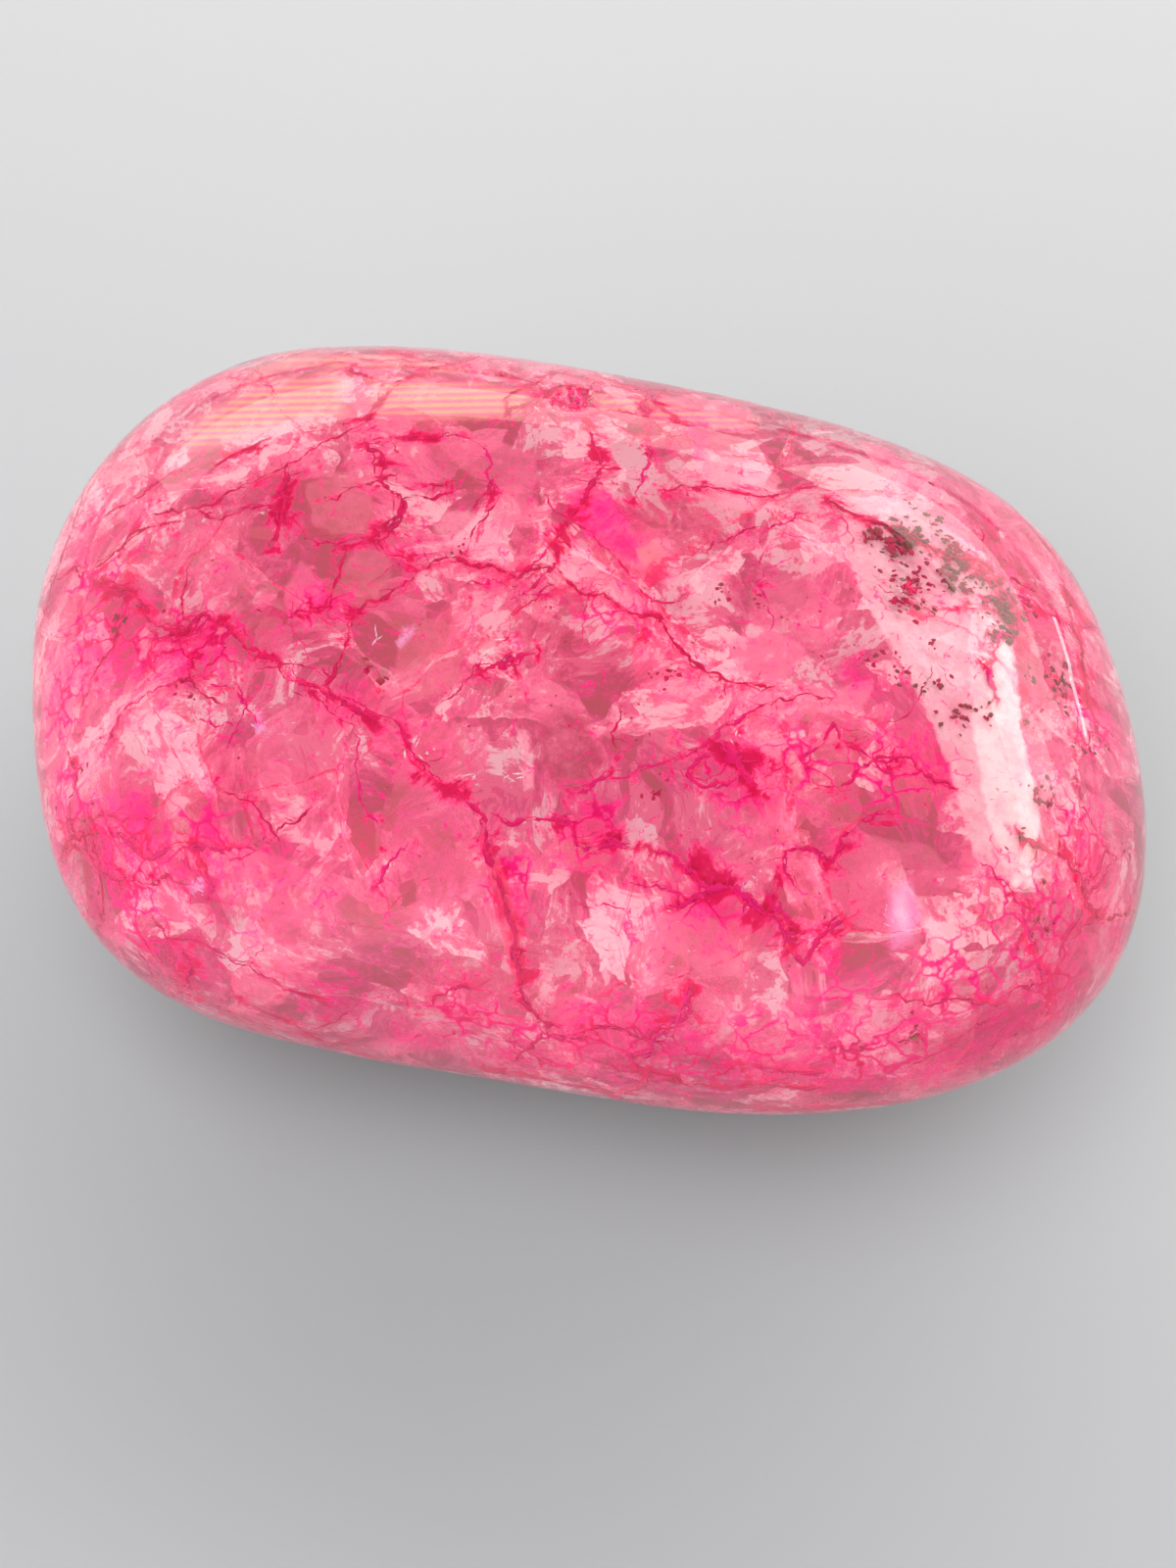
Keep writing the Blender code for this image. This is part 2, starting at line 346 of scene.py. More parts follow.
# Single patches: tint, look, depth in millimetres, cover, and the pixels round them
PATCHES = {
    # The panes, the dark window and the shadow patches are painted darkness where the dark surroundings show
    # through the clear quartz.
    "upper_left_pane": ("dusk", "plain", 0.4, 0.85, (
        (310, 495), (345, 478), (378, 490), (385, 520), (372, 545), (340, 549), (315, 535),
    )),
    "second_pane": ("dusk", "plain", 0.35, 0.85, (
        (345, 575), (370, 556), (398, 562), (402, 590), (385, 612), (355, 608), (342, 595),
    )),
    "upper_shadow": ("mauve", "plain", 0.5, 0.7, (
        (437, 450), (500, 446), (548, 462), (552, 500), (520, 512), (480, 490),
    )),
    "shadow_corner": ("mauve", "plain", 0.5, 0.7, (
        (483, 497), (530, 493), (552, 515), (545, 540), (505, 538),
    )),
    "rose_wedge": ("rose", "plain", 0.45, 0.85, (
        (288, 600), (305, 566), (322, 585), (338, 606), (320, 628), (290, 640),
    )),
    "bright_dye": ("magenta", "plain", 0.4, 0.8, (
        (570, 495), (610, 490), (632, 520), (655, 552), (650, 580), (622, 565), (590, 535),
    )),
    "peach_scale": ("peach", "plain", 0.3, 0.9, (
        (648, 560), (672, 545), (690, 552), (680, 572), (655, 584),
    )),
    "milky_slope": ("blush", "plain", 0.35, 0.8, (
        (545, 545), (575, 540), (600, 560), (628, 585), (640, 605), (600, 602), (560, 580),
    )),
    "lilac_scale": ("lilac", "plain", 0.35, 0.6, (
        (402, 655), (410, 638), (430, 632), (424, 650), (408, 664),
    )),
    "milky_field": ("blush", "plain", 0.5, 0.5, (
        (440, 520), (480, 515), (530, 560), (520, 580), (470, 565), (440, 545),
    )),
    "dark_window": ("shade", "plain", 0.4, 0.9, (
        (550, 735), (572, 712), (598, 732), (622, 780), (604, 804), (565, 806), (548, 780),
    )),
    "window_side": ("mauve", "plain", 0.45, 0.8, (
        (608, 742), (630, 735), (645, 748), (630, 756), (614, 752),
    )),
    "window_edge": ("blush", "plain", 0.3, 0.9, ((526, 742), (541, 745), (546, 806), (534, 808))),
    "centre_right_plate": ("salmon", "plain", 0.5, 0.8, (
        (740, 650), (790, 640), (830, 665), (800, 698), (750, 692),
    )),
    "lower_shadow": ("mauve", "plain", 0.6, 0.7, (
        (655, 930), (700, 915), (750, 950), (770, 1000), (720, 1000), (680, 970),
    )),
    "broad_shadow": ("mauve", "plain", 0.7, 0.6, (
        (810, 880), (880, 850), (950, 860), (985, 900), (930, 960), (850, 940),
    )),
    "centre_pane": ("dusk", "plain", 0.5, 0.7, (
        (560, 850), (600, 845), (630, 870), (610, 895), (575, 885),
    )),
    "left_pane": ("dusk", "plain", 0.6, 0.6, (
        (405, 640), (450, 625), (480, 650), (470, 700), (430, 720), (400, 690),
    )),
    "right_pane": ("mauve", "plain", 0.6, 0.6, (
        (760, 600), (820, 580), (860, 620), (850, 670), (800, 660), (765, 640),
    )),
    # The striped patches are painted reflection: amber stripes of a warm striped light along the top edge.
    "painted_stripe_reflection_left": ("salmon", "striped", 0.2, 1.0, (
        (160, 470), (200, 420), (255, 388), (330, 374), (362, 374), (358, 428), (290, 440), (215, 462),
    )),
    "painted_stripe_reflection_middle": ("salmon", "striped", 0.2, 1.0, (
        (370, 378), (450, 382), (545, 390), (545, 430), (450, 434), (374, 430),
    )),
    "painted_stripe_reflection_rim": ("peach", "striped", 0.25, 0.9, (
        (225, 392), (290, 356), (400, 356), (480, 370), (480, 388), (390, 380), (300, 380), (240, 402),
    )),
    "painted_stripe_reflection_right": ("salmon", "striped", 0.25, 0.9, (
        (600, 392), (690, 404), (780, 424), (775, 446), (690, 436), (604, 424),
    )),
    "top_cloud": ("blush", "plain", 0.5, 0.5, (
        (700, 460), (760, 455), (800, 490), (790, 530), (730, 520),
    )),
    # Painted sparkle highlights: soft and small lilac and pearl flecks.
    "painted_sparkle_glow": ("lilac", "soft", 0.4, 0.9, (
        (900, 905), (928, 890), (946, 925), (936, 968), (904, 976),
    )),
    "painted_sparkle_heart": ("pearl", "soft", 0.3, 0.9, ((908, 906), (926, 902), (934, 945), (914, 958))),
    "painted_sparkle_left": ("lilac", "plain", 0.4, 0.9, (
        (258, 730), (268, 722), (274, 742), (268, 756), (260, 748),
    )),
    "painted_sparkle_low_left": ("lilac", "plain", 0.4, 0.9, ((186, 900), (206, 892), (214, 906), (196, 914))),
    "painted_sparkle_centre": ("pearl", "plain", 0.3, 0.9, ((754, 902), (768, 898), (774, 908), (760, 914))),
    "painted_sparkle_lower": ("lilac", "plain", 0.3, 0.9, ((826, 956), (838, 952), (842, 962), (830, 968))),
    "painted_sparkle_on_crack": ("pearl", "plain", 0.3, 0.9, ((460, 790), (478, 788), (484, 796), (468, 798))),
    "top_dye": ("magenta", "plain", 0.35, 0.85, (
        (700, 440), (712, 410), (728, 430), (722, 470), (706, 476),
    )),
    "main_crack_stain": ("crimson", "plain", 0.2, 1.0, (
        (488, 850), (504, 862), (520, 900), (534, 940), (534, 1000), (516, 985), (502, 930),
    )),
    "left_dye": ("magenta", "plain", 0.4, 0.9, ((120, 850), (142, 832), (162, 862), (138, 880))),
    "right_plate": ("salmon", "plain", 0.4, 0.85, (
        (800, 690), (850, 700), (900, 690), (880, 730), (820, 730),
    )),
    # Painted reflection of the window lamp on the right shoulder: a pale sheet under the polish with a paler
    # pearl core.
    "painted_window_reflection": ("pale", "plain", 0.28, 1.0, (
        (845, 505), (900, 505), (950, 525), (1000, 560), (1036, 630), (1044, 740), (1058, 800),
        (1066, 860), (1060, 912), (1026, 914), (990, 870), (972, 800), (950, 740), (925, 690),
        (882, 620), (856, 550),
    )),
    "painted_window_reflection_core": ("pearl", "plain", 0.22, 0.9, (
        (985, 610), (1030, 640), (1042, 700), (1046, 760), (1062, 830), (1056, 905), (1030, 905),
        (1004, 830), (990, 740),
    )),
    "ring_floor": ("peach", "plain", 0.15, 1.0, (
        (1061, 804), (1072, 802), (1077, 812), (1068, 819), (1061, 814),
    )),
    "haze_top_left": ("haze", "soft", 0.25, 0.3, ((920, 514), (956, 514), (960, 538), (926, 544))),
    "haze_left": ("haze", "soft", 0.25, 0.3, ((902, 536), (934, 540), (928, 566), (904, 560))),
    "haze_middle": ("haze", "soft", 0.25, 0.3, ((958, 556), (986, 554), (994, 596), (966, 596))),
    "haze_corner": ("haze", "soft", 0.25, 0.3, (
        (1002, 588), (1046, 596), (1050, 640), (1028, 654), (1008, 622),
    )),
    "haze_right": ("haze", "soft", 0.25, 0.3, ((1040, 668), (1062, 672), (1062, 704), (1044, 700))),
    "haze_far_right": ("haze", "soft", 0.25, 0.3, ((1072, 676), (1098, 684), (1094, 724), (1074, 716))),
}
TINTS = {
    "shade": SHADE, "crimson": CRIMSON, "dusk": DUSK, "mauve": MAUVE, "rose": ROSE, "magenta": MAGENTA,
    "salmon": SALMON, "blush": BLUSH, "peach": PEACH, "lilac": LILAC, "pale": PALE, "pearl": PEARL,
    "haze": HAZE,
}
# Pixels between a patch's points, what a pixel measures on the stone, and how close and how
# sloping the painted stripes of the lamp's reflection are
PATCH_STEP = 6.0
PIXEL_MM = 0.034
STRIPES_PER_PIXEL = 0.045
STRIPE_SLOPE = 0.02

# Clusters of grains: pixel, spread in pixels, how many, size in millimetres and how red
GRAIN_DETAIL = 2
GRAINS = {
    "panel_top": (
        (888, 543, 5, 18, 0.26, 0.6), (919, 549, 9, 60, 0.27, 0.6), (926, 560, 7, 12, 0.26, 0.9),
        (942, 527, 12, 22, 0.24, 0.05), (958, 540, 8, 10, 0.19, 0.5), (972, 564, 9, 28, 0.27, 0.5),
        (978, 584, 9, 28, 0.27, 0.3), (992, 588, 8, 14, 0.22, 0.8), (933, 598, 11, 60, 0.22, 1),
        (1022, 606, 11, 28, 0.27, 0.1), (1032, 622, 11, 32, 0.27, 0.35), (1030, 638, 9, 24, 0.26, 0.1),
        (1010, 600, 12, 12, 0.17, 0.1),
    ),
    "panel_crumbs": (
        (955, 626, 5, 5, 0.14, 0.6), (951, 654, 4, 3, 0.16, 0.6), (910, 580, 8, 6, 0.18, 0.7),
        (906, 560, 8, 8, 0.18, 0.6), (948, 568, 5, 6, 0.17, 0.6), (944, 698, 5, 7, 0.17, 0.6),
        (962, 694, 5, 6, 0.18, 0.6), (978, 724, 8, 14, 0.19, 0.3),
    ),
    "panel_right": (
        (1010, 727, 5, 7, 0.18, 0.6), (1048, 735, 4, 7, 0.17, 0.6), (1052, 688, 7, 10, 0.17, 0.1),
        (1084, 690, 9, 26, 0.22, 0.5), (1085, 717, 7, 10, 0.2, 0.3), (1120, 765, 11, 12, 0.19, 0.6),
        (1068, 811, 8, 14, 0.17, 0.3), (1048, 852, 3, 5, 0.17, 0.7),
    ),
    "middle": (
        (916, 680, 8, 9, 0.18, 0.5), (887, 670, 7, 9, 0.18, 0.9), (682, 688, 7, 12, 0.18, 1.0),
        (738, 603, 7, 10, 0.16, 0.7), (774, 612, 4, 6, 0.14, 0.8), (670, 810, 7, 9, 0.15, 1.0),
    ),
    "left": (
        (378, 680, 4, 4, 0.22, 1), (388, 697, 4, 4, 0.22, 1), (122, 632, 7, 12, 0.19, 0.7),
        (184, 698, 8, 8, 0.17, 1), (82, 786, 4, 6, 0.19, 1),
    ),
    "right_end": (
        (934, 1058, 7, 12, 0.2, 0.9), (1150, 866, 5, 8, 0.17, 0.4), (1070, 946, 8, 10, 0.17, 0.8),
        (876, 1066, 5, 4, 0.17, 0.9),
    ),
    "scattered": (
        (470, 560, 7, 6, 0.12, 0.9), (560, 620, 5, 5, 0.12, 0.9), (860, 640, 30, 12, 0.1, 0.7),
        (300, 460, 60, 14, 0.08, 0.7), (600, 700, 120, 50, 0.08, 0.9), (800, 900, 120, 50, 0.08, 0.9),
        (250, 800, 120, 60, 0.08, 0.9), (150, 640, 60, 20, 0.16, 1), (1060, 960, 50, 20, 0.14, 1),
        (90, 860, 40, 16, 0.16, 1), (640, 470, 30, 14, 0.1, 0.9),
    ),
    "ring": (
        (1059, 808, 1, 3, 0.2, 0.4), (1065, 801, 1, 3, 0.2, 0.3), (1074, 803, 1, 3, 0.2, 0.4),
        (1078, 811, 1, 3, 0.2, 0.2), (1073, 819, 1, 3, 0.2, 0.4), (1063, 817, 1, 3, 0.2, 0.3),
    ),
}

# Pale shards painted as sparkle highlights: pixel, spread in pixels, how many, size in millimetres and how
# lilac
GLINTS = {
    "main_crack": (
        (425, 757, 5, 8, 0.5, 0.1), (475, 793, 6, 5, 0.5, 0.0), (520, 790, 7, 6, 0.4, 0.0),
    ),
    "centre": (
        (755, 738, 6, 10, 0.3, 0.2), (765, 905, 9, 12, 0.4, 0.4), (758, 912, 4, 6, 0.3, 0.9),
        (832, 960, 6, 9, 0.3, 0.8), (918, 935, 8, 12, 0.35, 0.6),
    ),
    "panel": (
        (1032, 668, 4, 6, 0.35, 0.6), (1016, 662, 5, 5, 0.3, 0.0),
    ),
    "left": (
        (198, 905, 7, 10, 0.35, 0.9), (264, 740, 5, 7, 0.35, 0.9), (275, 524, 8, 10, 0.35, 0.1),
        (500, 660, 8, 6, 0.5, 0.0),
    ),
    "top": (
        (545, 405, 5, 9, 0.4, 0.0), (572, 404, 6, 9, 0.3, 0.0), (590, 400, 4, 4, 0.3, 0.0),
        (378, 455, 4, 6, 0.4, 0.0),
    ),
    "single": (
        (385, 645, 4, 4, 0.4, 0.1), (1075, 905, 8, 6, 0.3, 0.1), (150, 470, 8, 4, 0.5, 0.1),
    ),
    "scattered": (
        (330, 760, 40, 8, 0.2, 0.1), (700, 900, 60, 14, 0.2, 0.1), (250, 990, 30, 8, 0.3, 0.1),
    ),
}


# Vectors and meshes


def way_to(round_deg, up_deg):
    """The way that lies round_deg from +X and up_deg above level."""
    around, up = math.radians(round_deg), math.radians(up_deg)
    return Vector((math.cos(around) * math.cos(up), math.sin(around) * math.cos(up), math.sin(up)))


def ball(detail):
    """(points, triangles) of a unit icosphere, as arrays."""
    bm = bmesh.new()
    bmesh.ops.create_icosphere(bm, subdivisions=detail, radius=1.0)
    points = np.array([vertex.co for vertex in bm.verts])
    faces = np.array([[vertex.index for vertex in face.verts] for face in bm.faces])
    bm.free()
    return points / np.linalg.norm(points, axis=1)[:, None], faces


def tree_of(points, faces):
    """What rays meet and nearest points are found on."""
    return BVHTree.FromPolygons([Vector(p) for p in points], [tuple(int(i) for i in f) for f in faces])


def reach_of(tree, ways):
    """How far it is from the stone's middle to its surface, each way."""
    return np.array([tree.ray_cast(MIDDLE, Vector(way))[3] for way in ways])


def evened(values, faces, passes, where=None):
    """The values of a mesh's points, evened out with their neighbours'."""
    ends = np.concatenate([faces[:, [0, 1]], faces[:, [1, 2]], faces[:, [2, 0]]])
    count = np.bincount(ends.ravel(), minlength=len(values))
    for _ in range(passes):
        total = np.bincount(ends[:, 0], values[ends[:, 1]], len(values))
        total += np.bincount(ends[:, 1], values[ends[:, 0]], len(values))
        values = total / count if where is None else np.where(where, total / count, values)
    return values


def noise_at(points, size, seed=0.0):
    """Smooth noise from -1 to 1 at each point, with features of that size."""
    offset = Vector((seed * 7.3, seed * 3.1, -seed * 5.7))
    return np.array([noise.noise(Vector(p) / size + offset) for p in points])


def drift_at(points, size, seed=0.0):
    """A smooth sideways drift at each point, each part from -1 to 1."""
    offset = Vector((seed * 5.9, -seed * 2.3, seed * 4.1))
    return np.array([noise.noise_vector(Vector(p) / size + offset) for p in points])


def drifted(points, seed):
    """The points in millimetres, pushed about as torn sheets are, as a place for patterns."""
    broad = 2.2 * MM * drift_at(points, 7 * MM, seed)
    fine = 1.2 * MM * drift_at(points, 2.2 * MM, seed + 1)
    return (points + broad + fine) / MM + 17.0 * seed


def finer_outline(flat, step):
    """The points of a flat outline, with more of them put in a step apart."""
    rim = []
    for start, end in zip(flat, np.roll(flat, -1, axis=0)):
        count = max(1, int(np.linalg.norm(end - start) / step))
        rim += [start + (end - start) * s / count for s in range(count)]
    return rim


def grid_over(flat, step):
    """A square grid of points over the box of a flat outline."""
    spans = [np.arange(low, high, step) for low, high in zip(flat.min(axis=0), flat.max(axis=0))]
    return np.stack(np.meshgrid(*spans), -1).reshape(-1, 2)


def add_object(name, mesh, material):
    """An object of the scene from a mesh and its one material."""
    mesh.materials.append(material)
    made = bpy.data.objects.new(name, mesh)
    bpy.context.scene.collection.objects.link(made)
    return made


def make_piece(name, points, faces, material, values=None, smooth=True):
    """A piece of the stone from arrays, with named numbers at its points."""
    mesh = bpy.data.meshes.new(name)
    mesh.from_pydata([tuple(p) for p in points], [], [tuple(int(i) for i in f) for f in faces])
    for key, numbers in (values or {}).items():
        numbers = np.asarray(numbers, np.float32)
        kind, entry = ("FLOAT_VECTOR", "vector") if numbers.ndim == 2 else ("FLOAT", "value")
        mesh.attributes.new(key, kind, "POINT").data.foreach_set(entry, numbers.reshape(-1))
    if smooth:
        mesh.shade_smooth()
    made = add_object(name, mesh, material)
    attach(made, "root")
    return made


# Shader nodes


class Nodes:
    """Short ways to build one material's nodes. Sizes are in millimetres."""

    def __init__(self, name):
        self.material = bpy.data.materials.new(name)
        self.material.use_nodes = True
        self.tree = self.material.node_tree
        self.tree.nodes.clear()
        self.out = self.tree.nodes.new("ShaderNodeOutputMaterial")
        where = self.tree.nodes.new("ShaderNodeTexCoord")
        scaled = self.node("VectorMath", operation="SCALE")
        scaled.inputs["Scale"].default_value = 1 / MM
        self.tree.links.new(where.outputs["Object"], scaled.inputs[0])
        self.place = scaled.outputs[0]

    def node(self, kind, inputs=None, **settings):
        made = self.tree.nodes.new("ShaderNode" + kind)
        for key, value in settings.items():
            setattr(made, key, value)
        for key, value in (inputs or {}).items():
            self.set(made.inputs[key], value)
        return made

    def set(self, socket, value):
        if isinstance(value, bpy.types.NodeSocket):
            self.tree.links.new(value, socket)
        else:
            socket.default_value = value

    def maths(self, operation, a, b=0.0, c=0.0):
        return self.node("Math", {0: a, 1: b, 2: c}, operation=operation).outputs[0]

    def step(self, value, low, high, to_low=0.0, to_high=1.0):
        """Goes smoothly from to_low to to_high as value goes from low to high."""
        made = self.node(
            "MapRange",
            {"Value": value, "From Min": low, "From Max": high, "To Min": to_low, "To Max": to_high},
            interpolation_type="SMOOTHSTEP",
        )
        return made.outputs["Result"]

    def blend(self, share, a, b):
        made = self.node("Mix", data_type="RGBA")
        for socket, value in zip((made.inputs["Factor"], made.inputs[6], made.inputs[7]), (share, a, b)):
            self.set(socket, value)
        return made.outputs[2]

    def noise(self, size, detail=4.0, roughness=0.55, place=None):
        """Noise from 0 to 1."""
        inputs = {"Vector": place or self.place, "Scale": 1 / size, "Detail": detail, "Roughness": roughness}
        return self.node("TexNoise", inputs).outputs["Fac"]

    def warped(self, size, amount, detail=2.0, place=None):
        """The place, pushed about by noise of that size."""
        place = place or self.place
        push = self.node("TexNoise", {"Vector": place, "Scale": 1 / size, "Detail": detail}).outputs["Color"]
        scaled = self.node("VectorMath", {0: self.centred(push)}, operation="SCALE")
        scaled.inputs["Scale"].default_value = 2 * amount
        return self.node("VectorMath", {0: place, 1: scaled.outputs[0]}, operation="ADD").outputs[0]

    def centred(self, colour):
        """A random colour as a vector round zero."""
        return self.node("VectorMath", {0: colour, 1: (0.5, 0.5, 0.5)}, operation="SUBTRACT").outputs[0]

    def split(self, colour):
        """The three parts of a colour."""
        return self.node("SeparateColor", {0: colour}).outputs

    def cells(self, size, place, feature="F1", output="Distance"):
        return self.node("TexVoronoi", {"Vector": place, "Scale": 1 / size}, feature=feature).outputs[output]

    def value(self, name):
        """A number that the mesh holds at its points."""
        return self.node("Attribute", attribute_name=name).outputs["Fac"]

    def vector(self, name):
        """A vector that the mesh holds at its points."""
        return self.node("Attribute", attribute_name=name).outputs["Vector"]

    def plus(self, a, b):
        return self.maths("ADD", a, b)

    def times(self, a, b):
        return self.maths("MULTIPLY", a, b)

    def most(self, a, b):
        return self.maths("MAXIMUM", a, b)

    def line(self, value, rise, start):
        """value * rise + start."""
        return self.maths("MULTIPLY_ADD", value, rise, start)

    def plain(self, colour, roughness):
        """An opaque material of that colour."""
        inputs = {"Base Color": colour, "Roughness": roughness}
        return self.finish(self.node("BsdfPrincipled", inputs).outputs[0])

    def mixed(self, share, a, b):
        """A mix of two shaders."""
        return self.node("MixShader", {0: share, 1: a, 2: b}).outputs[0]

    def finish(self, surface, volume=None):
        self.tree.links.new(surface, self.out.inputs["Surface"])
        if volume:
            self.tree.links.new(volume, self.out.inputs["Volume"])
        return self.material


CLEAR = (1.0, 1.0, 1.0, 1.0)
FAINT_ROSE = (1.0, 0.97, 0.98, 1.0)


def under_skin(n, alpha, colour, film, through, clear=CLEAR):
    """A sheet inside the quartz, seen at a share of alpha. Lamps meet it as a plain tinted film,
    which keeps the noise low. A share of the light goes through it."""
    front = n.node("BsdfDiffuse", {"Color": colour}).outputs[0]
    back = n.node("BsdfTranslucent", {"Color": colour}).outputs[0]
    gap = n.node("BsdfTransparent", {"Color": clear}).outputs[0]
    sheet = n.mixed(alpha, gap, n.mixed(through, front, back))
    to_lamps = n.node("BsdfTransparent", {"Color": film}).outputs[0]
    return n.finish(n.mixed(n.node("LightPath").outputs["Is Shadow Ray"], sheet, to_lamps))


def ramp_of(n, value, colours, low=0.1, high=0.9):
    """Colours spread evenly over a value from low to high."""
    made = n.node("ValToRGB", {"Fac": value})
    stops = made.color_ramp.elements
    stops[0].position, stops[0].color = low, colours[0]
    stops[1].position, stops[1].color = high, colours[-1]
    for index, colour in enumerate(colours[1:-1]):
        stops.new(low + (high - low) * (index + 1) / (len(colours) - 1)).color = colour
    return made.outputs[0]


def skin_material():
    """Clear, faintly rose quartz that lets lamps light what lies in it."""
    n = Nodes("polished_skin")
    polish = {"Base Color": (1.0, 0.98, 0.985, 1.0), "Roughness": 0.015}
    quartz = n.node("BsdfPrincipled", polish | {"IOR": QUARTZ_IOR, "Transmission Weight": 1.0}).outputs[0]
    clear = n.node("BsdfTransparent", {"Color": (0.98, 0.97, 0.975, 1.0)}).outputs[0]
    shadow = n.node("LightPath").outputs["Is Shadow Ray"]
    absorbs = n.node("VolumeAbsorption", {"Color": (1.0, 0.6, 0.72, 1.0), "Density": 15.0}).outputs[0]
    return n.finish(n.mixed(shadow, quartz, clear), absorbs)


def wall_material():
    """A crack wall: milky, feathered and stained, with dye along its edges."""
    n = Nodes("crack_walls")
    mottle = n.noise(1.0, 4.0, 0.85)
    feather = n.noise(0.4, 2.0, 0.6, place=n.vector("drift"))
    misty = n.times(n.step(mottle, 0.38, 0.62), n.step(feather, 0.3, 0.7, 0.35, 1.0))
    alpha = n.times(n.value("cover"), n.line(misty, 0.85, 0.15))
    seam = n.step(n.value("edge"), 0.0, n.line(feather, 0.36, -0.08), 1.0, 0.0)
    seam = n.times(seam, n.step(mottle, 0.44, 0.55))
    top = n.times(n.step(n.value("depth"), 0.12, 0.36, 1.0, 0.0), n.step(mottle, 0.56, 0.46))
    dye = n.most(seam, top)
    body = ramp_of(n, n.plus(n.value("tint"), n.line(mottle, 1.4, -0.7)), MILKY)
    seen = n.most(alpha, n.times(dye, 0.6))
    return under_skin(n, seen, n.blend(dye, body, CRIMSON), (0.97, 0.92, 0.94, 1.0), 0.3, FAINT_ROSE)


def cloud_parts(n, size):
    """(random colour of each torn patch, fine lines that run one way in each patch, mottling)."""
    drift = n.vector("drift")
    torn = n.warped(0.9, 0.35, 2.0, place=drift)
    patch = n.cells(size, torn, output="Color")
    crumb = n.split(n.cells(size * 0.38, torn, output="Color"))[0]
    run = n.node("VectorMath", {0: drift, 1: n.centred(patch)}, operation="DOT_PRODUCT").outputs["Value"]
    wave = {"W": run, "Scale": 9.0, "Detail": 3.0, "Roughness": 0.7}
    lines = n.node("TexNoise", wave, noise_dimensions="1D").outputs["Fac"]
    mottle = n.line(crumb, 0.24, n.plus(n.noise(1.0, 4.0, 0.85, place=drift), -0.12))
    return n.split(patch), lines, mottle


def cloud_material(name, size, cover):
    """One layer of healed clouds: patches with crisp torn edges, at a share of cover."""
    n = Nodes(name)
    patch, lines, mottle = cloud_parts(n, size)
    tone = n.line(patch[1], 0.72, n.line(mottle, 2.0, -0.86))
    # The dusk field pulls the tone towards DUSK: painted darkness where the dark surroundings show through
    # clear quartz.
    tone = n.plus(tone, n.line(n.value("pale"), 0.4, n.times(n.value("dusk"), -0.7)))
    colour = ramp_of(n, n.line(lines, 0.25, n.plus(tone, -0.12)), MILKY)
    colour = n.blend(n.times(n.value("dye"), mottle), colour, MAGENTA)
    present = n.step(patch[0], 1 - cover - 0.02, 1 - cover + 0.02)
    body = n.step(n.plus(mottle, n.line(lines, 0.5, -0.25)), 0.35, 0.65, 0.25, 0.9)
    return under_skin(n, n.times(present, body), colour, (0.97, 0.93, 0.95, 1.0), 0.2, FAINT_ROSE)


def deep_material():
    """The dense clouds that nothing shows through: broad patches of milky, stained quartz."""
    n = Nodes("deep_clouds")
    patch, lines, mottle = cloud_parts(n, 2.6)
    tone = n.line(patch[1], 0.62, n.line(mottle, 2.3, -0.96))
    # The dusk field pulls the tone towards DUSK: painted darkness where the dark surroundings show through
    # clear quartz.
    tone = n.plus(tone, n.line(n.value("pale"), 0.5, n.times(n.value("dusk"), -0.8)))
    colour = ramp_of(n, n.line(lines, 0.3, n.plus(tone, -0.15)), MILKY)
    stain = n.step(n.plus(n.value("dye"), n.line(mottle, 1.2, -0.6)), 0.15, 0.75)
    colour = n.blend(n.times(stain, n.step(lines, 0.3, 0.7, 0.3, 0.75)), colour, MAGENTA)
    return n.finish(n.node("BsdfDiffuse", {"Color": colour}).outputs[0])


def crazed_material():
    """Fine crazing just under the polish, and dye that crept out of the cracks and between small cells."""
    n = Nodes("crazed_film")
    dye, cells = n.value("dye"), n.value("cells")
    patchy = n.noise(0.8, 4.0, 0.75, place=n.vector("drift"))
    speckle = n.noise(0.35, 3.0, 0.8)
    edge = n.cells(1.15, n.warped(0.6, 0.42, 2.0), "DISTANCE_TO_EDGE")
    hair = n.step(edge, 0.0, n.step(patchy, 0.5, 0.38, 0.0, 0.045), 0.75, 0.0)
    width = n.line(cells, 0.1, n.line(patchy, 0.34, -0.13))
    small = n.times(n.step(edge, 0.0, width, 1.0, 0.0), n.step(cells, 0.08, 0.55))
    stain = n.step(n.line(n.value("near"), 0.42, patchy), 0.62, 0.8, 0.0, 0.95)
    wash = n.times(n.step(n.line(dye, 0.25, patchy), 0.61, 0.75), n.step(speckle, 0.35, 0.6, 0.1, 0.7))
    seen = n.most(n.most(hair, small), n.most(stain, wash))
    dark = n.most(stain, n.times(small, dye))
    colour = n.blend(n.step(dark, 0.2, 0.9), MAGENTA, CRIMSON)
    return under_skin(n, seen, colour, (0.98, 0.96, 0.97, 1.0), 0.2)


def vein_material():
    """Dye packed into the mouth of a crack."""
    n = Nodes("dye_veins")
    colour = n.blend(n.step(n.noise(0.5, 3.0), 0.4, 0.6), GARNET, CRIMSON)
    return n.plain(n.blend(n.value("bright"), colour, MAGENTA), 0.5)


def fin_material():
    """A crack that goes down from the skin: dye at its mouth, then a feathered film."""
    n = Nodes("open_cracks")
    feather = n.noise(0.6, 4.0, 0.75)
    fade = n.step(n.value("depth"), 0.0, n.line(feather, 3.4, -1.3), 1.0, 0.0)
    colour = n.blend(n.step(n.value("depth"), 0.05, 0.6), CRIMSON, MAGENTA)
    return under_skin(n, n.times(fade, n.value("strength")), colour, (0.98, 0.95, 0.96, 1.0), 0.3)


